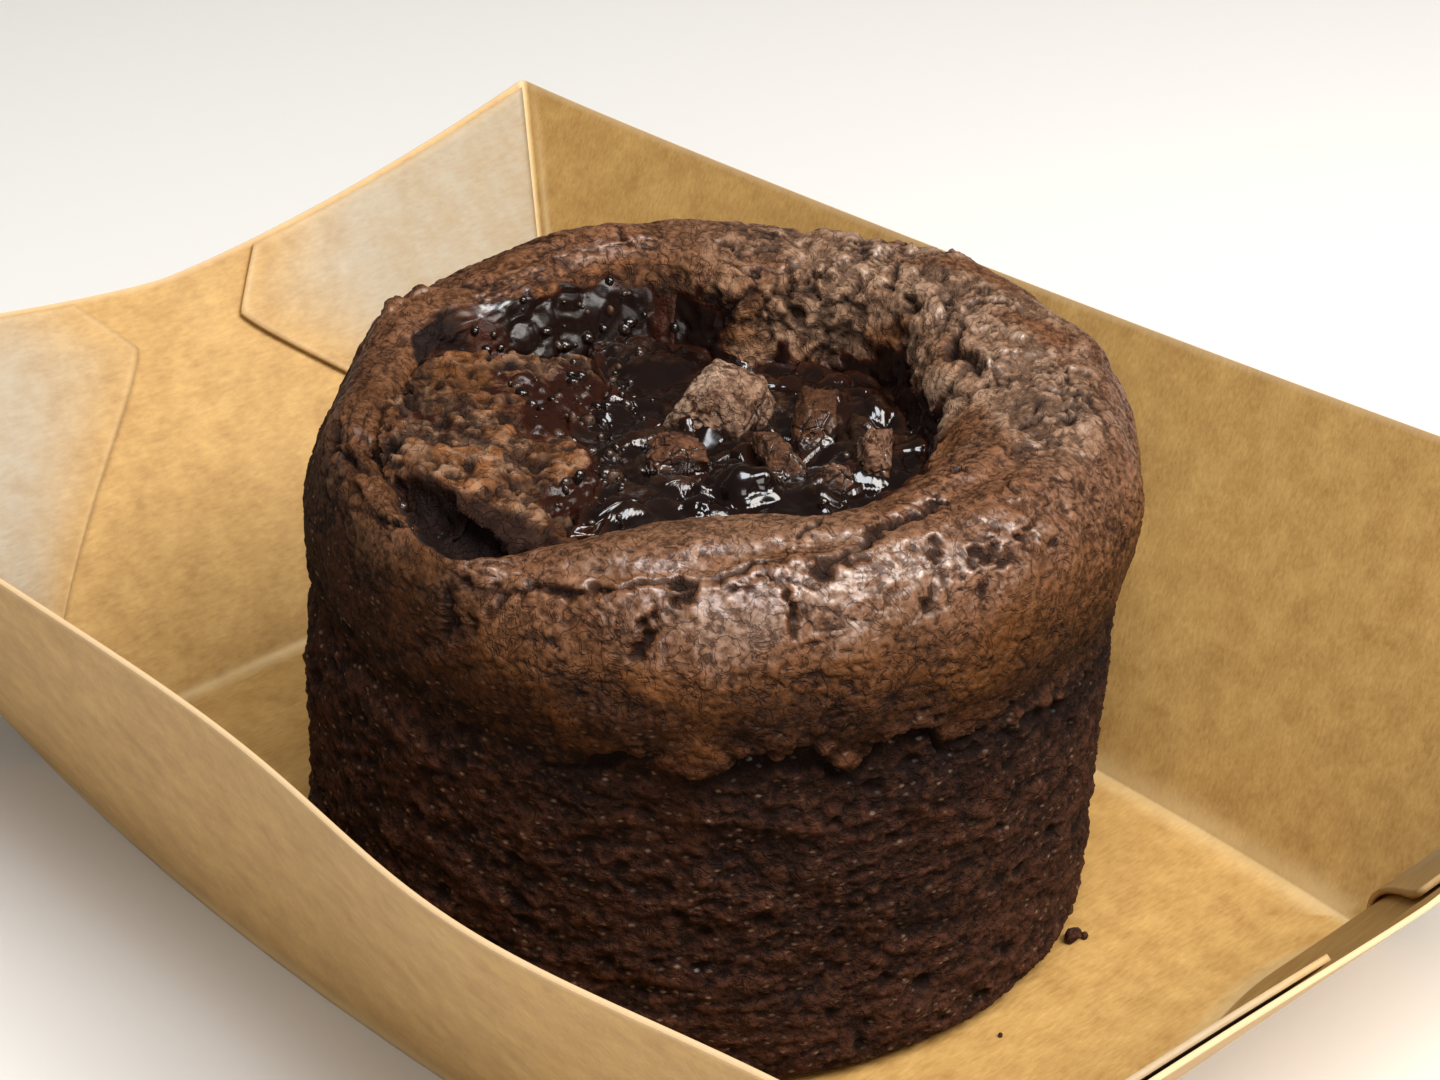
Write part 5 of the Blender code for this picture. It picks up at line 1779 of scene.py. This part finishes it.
@dataclass
class Crumbs:
    """Small crumbs: glazed ones on the slab's wet edge and the chocolate, dry ones on the tray's floor."""

    crumb: Surface
    pool: ChocolatePool
    rings: int = 5
    columns: int = 8
    glazed_count: int = 170
    glazed_radius: tuple = (0.25, 0.95)
    dry_radius: tuple = (0.15, 0.40)
    seed: int = 4
    dry_count: int = 9
    dry_reach: float = 41.5
    dry_spread: float = 9.0
    # Two more that the photo shows, in the world's frame: place (x, y) on the tray's floor, and radius.
    loose: tuple = ((41.6, 16.8, 0.95), (42.4, 17.9, 0.5))

    def grains(self, name: str, places: Array, radii: Array, masks: tuple[str, ...]) -> Mesh:
        """One mesh of closed, uneven little balls.

        Each is a ball of rings and columns, squashed by its own random factors and pushed about by noise.

        Args:
            name: the mesh's name.
            places: their middles in the world (n, 3).
            radii: their radii (n,).
            masks: the finish's masks, all left at nothing.

        Returns:
            The mesh.
        """
        pick = np.random.default_rng(self.seed + len(places))
        round_ball = ball(self.rings, self.columns).reshape(-1, 3)
        round_ball = np.concatenate([round_ball, [[0.0, 0.0, 1.0], [0.0, 0.0, -1.0]]])
        squash = pick.uniform(0.7, 1.25, (len(places), 1, 3))
        points = round_ball[None] * squash * radii[:, None, None]
        points = points * (1 + 0.30 * fractal(points + 20.0 * places[:, None], 1.2, 2, 311)[..., None])
        quads, *caps = capped_faces(self.rings, self.columns)
        shift = (np.arange(len(places)) * len(round_ball))[:, None, None]
        faces = [(part[None] + shift).reshape(-1, part.shape[1]) for part in (quads, np.concatenate(caps))]
        points = (points + places[:, None]).reshape(-1, 3)
        mesh = make_mesh(name, points, faces)
        set_masks(mesh, {mask: np.zeros(len(points)) for mask in masks})
        return mesh

    def glazed_places(self) -> Array:
        """Picks random places on the slab's wet parts, the glazed wall and the pool.

        Returns:
            The places in the souffle's frame.
        """
        pick = np.random.default_rng(self.seed)
        place, glaze = self.crumb.place, self.crumb.masks["glaze"]
        wet = glaze * (self.crumb.form.hollow > 0.2) * (place[..., 2] > MELT_LEVEL) * (place[..., 0] < 0.0)
        wet = np.where(wet > 0.3, wet, 0.0) ** 0.5
        top, share, _ = self.pool.surface()
        near_edge = (0.25 + smooth(0.5, 0.95, share)) * (share < 1.0) * share
        near_edge = near_edge * (0.35 + smooth(2.0, -10.0, top[..., 0]))
        chosen = []
        for places, weight in ((place, wet), (top, near_edge)):
            share = weight.ravel() / weight.sum()
            chosen.append(places.reshape(-1, 3)[pick.choice(share.size, self.glazed_count // 2, p=share)])
        return np.concatenate(chosen)

    def build_glazed(self, pick: np.random.Generator, finish: Material) -> None:
        """The glazed crumbs as one piece, each with its own share of crumb colour.

        Args:
            pick: where the random numbers come from.
            finish: the piece's material.
        """
        places = self.glazed_places()
        low, high = self.glazed_radius
        radii = low + (high - low) * pick.random(len(places)) ** 2.2
        mesh = self.grains("glazed_crumbs", to_world(places), radii, ("thin", "crumb"))
        share = np.repeat(pick.random(len(places)) ** 2, len(mesh.vertices) // len(places))
        mesh.attributes["crumb"].data.foreach_set("value", share.astype(np.float32))
        add_piece(mesh, finish, Slot.MOLTEN)

    def build_dry(self, pick: np.random.Generator, finish: Material) -> None:
        """The dry crumbs on the tray's floor as one piece, scattered round the souffle's foot.

        Args:
            pick: where the random numbers come from.
            finish: the piece's material.
        """
        turn = pick.uniform(0.0, 2 * math.pi, self.dry_count)
        reach = self.dry_reach + self.dry_spread * pick.random(self.dry_count) ** 2
        low, high = self.dry_radius
        radii = low + (high - low) * pick.random(self.dry_count)
        spots = np.stack([CAKE_X + reach * np.cos(turn), reach * np.sin(turn), radii], axis=-1)
        spots = np.concatenate([np.array(self.loose), spots[np.abs(spots[:, 1]) < 40.0]])
        radii = spots[:, 2].copy()
        spots[:, 2] = BOARD + 0.75 * radii
        mesh = self.grains("dry_crumbs", spots, radii, tuple(self.crumb.masks))
        mesh.attributes["lift"].data.foreach_set("value", np.full(len(mesh.vertices), 0.8, np.float32))
        add_piece(mesh, finish, Slot.BAKED)

    def build(self, glazed: Material, dry: Material) -> None:
        """Both kinds, from one run of random numbers.

        Args:
            glazed: material of the glazed crumbs.
            dry: material of the dry crumbs.
        """
        pick = np.random.default_rng(self.seed + 1)
        self.build_glazed(pick, glazed)
        self.build_dry(pick, dry)


# Paper tray

class Wall(Enum):
    """The kinds of wall: the two short ends, the long back and the long front."""

    END = "end"
    BACK = "back"
    FRONT = "front"


@dataclass
class PaperTray:
    """The folded kraft tray: one sheet with a rounded crease round its floor, and four glued corner flaps."""

    kraft: Material
    floor_length: float = 125.0
    floor_width: float = 89.0
    floor_bow: float = 4.5
    rim_length: float = 190.0
    rim_width: float = 125.0
    corner_height: float = 47.8
    side_height: float = 44.2
    end_height: float = 38.8
    end_scoop: float = 1.35
    end_draw: float = 4.0
    side_bulge: float = 3.4
    front_draw: float = 2.0
    front_bulge: float = 5.2
    front_at: float = 0.46
    front_spread: float = 0.3
    gusset_tip: tuple = (0.13, 0.84)
    gusset_knee: float = 0.8
    gusset_foot: float = 0.08
    gusset_top: float = 0.985
    gusset_curve: float = 1.2
    gusset_slant: float = 0.094
    gusset_proud: float = 0.35
    flap_steps: int = 60
    side_columns: int = 170
    end_columns: int = 120
    wall_rows: int = 56
    floor_rows: int = 26
    highlight_band_half_width: float = 0.55
    long_highlight_widening: float = 2.4             # how much wider the painted highlight along the crease is on the long sides
    fold_half_width: float = 0.32
    crease_bow: float = 3.2             # how far the right end's crease bows in, where on it and how widely
    crease_bow_at: float = 28.0
    crease_bow_spread: float = 16.0
    corner_strip: float = 1.7

    def wall_point(self, wall: Wall, across: Array, up: Array, bowed: float = 0.0) -> Array:
        """Places on a wall's inner face.

        Args:
            wall: which kind; an end is given on the +X side and a long side on +Y.
            across: -1 to 1 along the wall.
            up: 0 at the floor's crease to 1 at the rim.
            bowed: for an end, its share of the right end's bow, with the sign of its y.

        Returns:
            The places.
        """
        across, up = np.broadcast_arrays(np.asarray(across, float), np.asarray(up, float))
        floor_corner_y = self.floor_width / 2 - self.floor_bow
        middle = 1.0 - across ** 2
        if wall is Wall.END:
            bow = bell(floor_corner_y * across * np.sign(bowed) - self.crease_bow_at, self.crease_bow_spread)
            bow = abs(bowed) * self.crease_bow * bow * (1.0 - across ** 6)
            low = (self.floor_length / 2 - bow, floor_corner_y * across)
            high = (self.rim_length / 2 - self.end_draw * middle, self.rim_width / 2 * across)
            rise = self.corner_height - self.end_height
            height = self.end_height + rise * np.abs(across) ** self.end_scoop
        else:
            bow = self.side_bulge * middle
            if wall is Wall.FRONT:
                thumb = bell(across - self.front_at, self.front_spread)
                bow = self.front_bulge * thumb - self.front_draw * middle
            low = (self.floor_length / 2 * across, floor_corner_y + self.floor_bow * middle)
            high = (self.rim_length / 2 * across, self.rim_width / 2 + bow * middle ** 0.25)
            height = self.corner_height - (self.corner_height - self.side_height) * middle
        x = low[0] + (high[0] - low[0]) * up
        y = low[1] + (high[1] - low[1]) * up
        return np.stack([x, y, BOARD + (height - BOARD) * up], axis=-1)

    def ring(self, up: Array) -> tuple[Array, Array]:
        """Rings round the walls' inner faces.

        Args:
            up: each ring's share of the walls' height, as a column.

        Returns:
            The rings of places (rows, columns, 3), and each column's distance to the nearest corner along its
            own wall as a share of the wall's half length.
        """
        side = np.linspace(-1.0, 1.0, self.side_columns + 1)[:-1]
        end = np.linspace(-1.0, 1.0, self.end_columns + 1)[:-1]
        parts = [self.wall_point(Wall.END, end, up, 1.0), self.wall_point(Wall.BACK, -side, up),
                 self.wall_point(Wall.END, end, up) * (-1, -1, 1),
                 self.wall_point(Wall.FRONT, side, up) * (1, -1, 1)]
        corner = np.concatenate([1 - np.abs(part) for part in (end, side, end, side)])
        return np.concatenate(parts, axis=1), corner

    def inner(self) -> tuple[Array, Masks]:
        """The inner face from the middle of the floor to the rim, and its masks.

        Painted highlights run along the floor's crease, up each corner's fold and a strip's width beside it.

        Returns:
            The face's places (rows, columns, 3) and its masks.
        """
        share = np.linspace(0.0, 1.0, self.floor_rows)[1:, None] ** 0.8
        crease, corner = self.ring(np.zeros((1, 1)))
        floor = crease * share[..., None] * (1, 1, 0) + (0, 0, BOARD)
        low_rows = np.array([0.006, 0.014, 0.024, 0.038])
        up = np.concatenate([low_rows, np.linspace(0.055, 1.0, self.wall_rows - len(low_rows))])[:, None]
        walls, _ = self.ring(up)
        points = np.concatenate([floor, walls])
        height = np.concatenate([np.zeros_like(share), up])
        on_wall = (height > 0.0) * 1.0
        end_x = self.floor_length / 2 - np.abs(crease[..., 0])
        half_wall = np.where(end_x < 0.01, self.floor_width / 2, self.floor_length / 2)
        from_corner = corner[None, :] * half_wall * (1.0 + 0.45 * height)
        long_side = 1 - (end_x < self.crease_bow + 0.3)
        half_width = self.highlight_band_half_width * (1.0 + self.long_highlight_widening * long_side)
        above = (height * self.corner_height * 1.2 - 0.35 * half_width) * on_wall
        inside = (1 - np.concatenate([share, np.ones_like(up)])) * self.floor_width / 2 * (1 - on_wall)
        # Painted highlight: the rounded crease and the folds catch the light, so they are made paler.
        floor_line = bell(above + inside, half_width) * (0.75 + 0.25 * lattice_noise(points, 7.0, 301))
        lines = np.maximum(bell(from_corner, self.fold_half_width),
                           bell(from_corner - self.corner_strip, self.fold_half_width + 0.03)) * on_wall
        fold_highlight = np.maximum(floor_line * 0.8, lines)
        return points, {"fold_highlight": fold_highlight, "edge": np.zeros_like(fold_highlight), "pale": np.zeros_like(fold_highlight)}

    def thickened(self, inner: Array) -> Array:
        """The outer face: each place moved so that all four faces round it are one board's thickness off.

        Args:
            inner: the inner face's places (rows, columns, 3).

        Returns:
            The outer face's places.
        """
        down = np.diff(inner, axis=0)
        along = np.roll(inner, -1, axis=1) - inner
        face = np.cross(down + np.roll(down, -1, axis=1), along[:-1] + along[1:])
        face /= np.linalg.norm(face, axis=-1, keepdims=True) + 1e-12
        above = np.concatenate([face[:1], face])
        below = np.concatenate([face, face[-1:]])
        around = np.stack([above, np.roll(above, 1, axis=1), below, np.roll(below, 1, axis=1)], axis=-2)
        away = np.linalg.pinv(around, rcond=0.05) @ np.full((4, 1), -BOARD)
        return inner + away[..., 0]

    def build_sheet(self) -> None:
        """The folded sheet as one closed piece, from the floor's middle over the rim and back underneath."""
        inner, masks = self.inner()
        outer = self.thickened(inner)
        rows = len(inner)
        rounded = (inner[-1] + outer[-1]) / 2 + (0.0, 0.0, 0.06)
        points = np.concatenate([inner, rounded[None], outer[::-1]])
        layers = {n: np.concatenate([m, m[-1:], m[::-1]]) for n, m in masks.items()}
        layers["edge"][rows - 1:rows + 2] = (0.6,), (1.0,), (0.6,)
        poles = np.array([[0.0, 0.0, BOARD], [0.0, 0.0, 0.0]])
        mesh = closed_mesh("tray_sheet", points, layers, poles, (rows - 1, rows, rows + 1))
        add_piece(mesh, self.kraft, Slot.BOARD, "tray")

    def flap(self, side_x: int, side_y: int) -> None:
        """One glued corner flap: it narrows from the corner's fold to a cut-off tip and stands off the wall.

        Args:
            side_x: 1 for the right end, -1 for the left.
            side_y: 1 for the back, -1 for the front.
        """
        steps = self.flap_steps
        tip_inner, tip_up = self.gusset_tip
        share, level = np.meshgrid(np.linspace(0.0, 1.0, steps), np.linspace(0.0, 1.0, steps))
        up = np.interp(level, (0.0, self.gusset_knee, 1.0), (self.gusset_foot, tip_up, self.gusset_top))
        below = np.maximum(tip_up - up, 0.0) / tip_up
        above = np.maximum(up - tip_up, 0.0) / (1.0 - tip_up)
        inner = tip_inner + (1 - tip_inner) * below ** self.gusset_curve + self.gusset_slant * above
        across = inner + (self.gusset_top - inner) * share
        points = self.wall_point(Wall.END, across, up, float(side_y) * (side_x > 0))
        normal = np.cross(np.gradient(points, axis=1), np.gradient(points, axis=0))
        normal /= np.linalg.norm(normal, axis=-1, keepdims=True)
        normal = normal * -np.sign(normal[..., :1])
        points = (points + normal * self.gusset_proud) * (side_x, side_y, 1)
        faces = grid_faces(steps, steps, wrap_columns=False)
        if side_x * side_y > 0:
            faces = faces[:, ::-1]
        name = "flap_" + ("right" if side_x > 0 else "left") + ("_back" if side_y > 0 else "_front")
        mesh = make_mesh(name, points.reshape(-1, 3), [faces])
        rim = np.maximum(bell(share * steps, 1.2), bell((1 - level) * steps, 1.2))
        pale = smooth(-0.05, 0.40, share)
        set_masks(mesh, {"fold_highlight": np.zeros_like(share), "edge": 0.35 * rim, "pale": pale})
        piece = add_piece(mesh, self.kraft, Slot.BOARD, "tray")
        board = piece.modifiers.new("board", "SOLIDIFY")
        board.thickness = (self.gusset_proud + BOARD / 2) * MM
        board.offset = -1.0
        board.use_even_offset = True

    def build(self) -> None:
        """The sheet and its four flaps."""
        self.build_sheet()
        for side_x in (-1, 1):
            for side_y in (-1, 1):
                self.flap(side_x, side_y)


# Studio

@dataclass(frozen=True)
class Lamp:
    """A soft rectangular lamp, aimed at the souffle: direction from it, distance, size, power and colour.

    The direction is in the souffle's frame: right, away and up.
    """

    name: str
    direction: tuple
    distance_m: float
    size_m: tuple
    power: float
    colour: tuple


@dataclass
class Studio:
    """Floor, lamps, pale surroundings and the camera."""

    floor: Material
    floor_size_m: float = 6.0
    world_colour: tuple = (1.0, 0.98, 0.95, 1.0)
    world_strength: float = 0.08
    lens: float = 75.0
    sensor_width: float = 36.0
    clip_start_m: float = 0.01
    camera_place: tuple = (195.9, -190.0, 187.1)
    camera_pitch: float = 0.4996
    camera_roll: float = 0.008456
    aim: tuple = (3.0, 0.0, 40.0)
    lamps: tuple = (
        Lamp("key", (0.52, -0.30, 0.80), 0.90, (0.46, 0.46), 10.4, (1.0, 0.96, 0.90)),
        Lamp("side", (0.84, 0.0, 0.53), 0.90, (0.30, 0.30), 1.0, (1.0, 0.97, 0.93)),
        Lamp("top", (0.0, -0.32, 0.95), 0.80, (0.30, 0.30), 4.2, (0.93, 0.96, 1.0)),
        Lamp("front", (0.0, -0.92, 0.38), 1.00, (0.50, 0.50), 3.6, (1.0, 0.96, 0.90)),
    )

    @staticmethod
    def world_direction(direction: tuple) -> Vector:
        """A direction of the souffle's frame in the world."""
        return Matrix.Rotation(CAKE_TURN, 3, "Z") @ Vector(direction).normalized()

    def build_floor(self) -> None:
        """A pale sheet far wider than the view."""
        half = self.floor_size_m / 2
        mesh = bpy.data.meshes.new("studio_floor")
        mesh.from_pydata([(-half, -half, 0), (half, -half, 0), (half, half, 0), (-half, half, 0)], [],
                         [(0, 1, 2, 3)])
        mesh.materials.append(self.floor)
        sheet = bpy.data.objects.new("studio_floor", mesh)
        bpy.context.scene.collection.objects.link(sheet)

    def build_lamps(self) -> None:
        """Area lamps, each turned to the souffle."""
        target = Vector(self.aim) * MM
        for lamp in self.lamps:
            light = bpy.data.lights.new(lamp.name, "AREA")
            light.shape = "RECTANGLE"
            light.size, light.size_y = lamp.size_m
            light.energy = lamp.power
            light.color = lamp.colour
            away = self.world_direction(lamp.direction)
            holder = bpy.data.objects.new(lamp.name, light)
            holder.location = target + away * lamp.distance_m
            holder.rotation_euler = away.to_track_quat("Z", "Y").to_euler()
            bpy.context.scene.collection.objects.link(holder)

    def build_world(self) -> None:
        """Even pale light from all round."""
        world = bpy.data.worlds.new("studio")
        world.use_nodes = True
        background = world.node_tree.nodes["Background"]
        background.inputs["Color"].default_value = self.world_colour
        background.inputs["Strength"].default_value = self.world_strength
        bpy.context.scene.world = world

    def build_camera(self) -> None:
        """The photograph's camera: its pitch below level and its slight roll, turned with the souffle."""
        data = bpy.data.cameras.new("photo_camera")
        data.lens = self.lens
        data.sensor_width = self.sensor_width
        data.clip_start = self.clip_start_m
        pitch, roll = self.camera_pitch, self.camera_roll
        ahead = Vector((0.0, math.cos(pitch), -math.sin(pitch)))
        level, upright = Vector((1.0, 0.0, 0.0)), Vector((0.0, math.sin(pitch), math.cos(pitch)))
        right = math.cos(roll) * level + math.sin(roll) * upright
        upward = math.cos(roll) * upright - math.sin(roll) * level
        turned = Matrix.Rotation(CAKE_TURN, 3, "Z") @ Matrix((right, upward, -ahead)).transposed()
        camera = bpy.data.objects.new("photo_camera", data)
        camera.matrix_world = Matrix.Translation(Vector(self.camera_place) * MM) @ turned.to_4x4()
        bpy.context.scene.collection.objects.link(camera)
        bpy.context.scene.camera = camera

    def build(self) -> None:
        """Everything round the object."""
        self.build_floor()
        self.build_lamps()
        self.build_world()
        self.build_camera()
        bpy.context.scene.view_settings.view_transform = "Standard"


def main() -> None:
    """Builds the souffle, its chocolate, the torn crumbs, the tray and the studio."""
    logging.basicConfig(level=logging.INFO, format="%(message)s")
    grain, fibre = crumb_grain_group(), paper_fibre_group()
    hollow_finish = BakedFinish("baked_hollow", grain, specular=0.14, satin=0.2, wet=0.20,
                                coat_roughness=0.24, coat_ior=1.5)
    souffle = Souffle(hollow_finish.material(), BakedFinish("baked_crust", grain).material())
    crumb = souffle.build()
    molten = MoltenFinish("molten", grain).material()
    pool = ChocolatePool(souffle, molten)
    pool.build()
    TornCrumbs(TornFinish("torn_sponge", grain).material()).build()
    Crumbs(crumb, pool).build(molten, souffle.crust_finish)
    PaperTray(KraftFinish("kraft", fibre).material()).build()
    Studio(FloorFinish("studio_paper").material()).build()


if __name__ == "__main__":
    main()
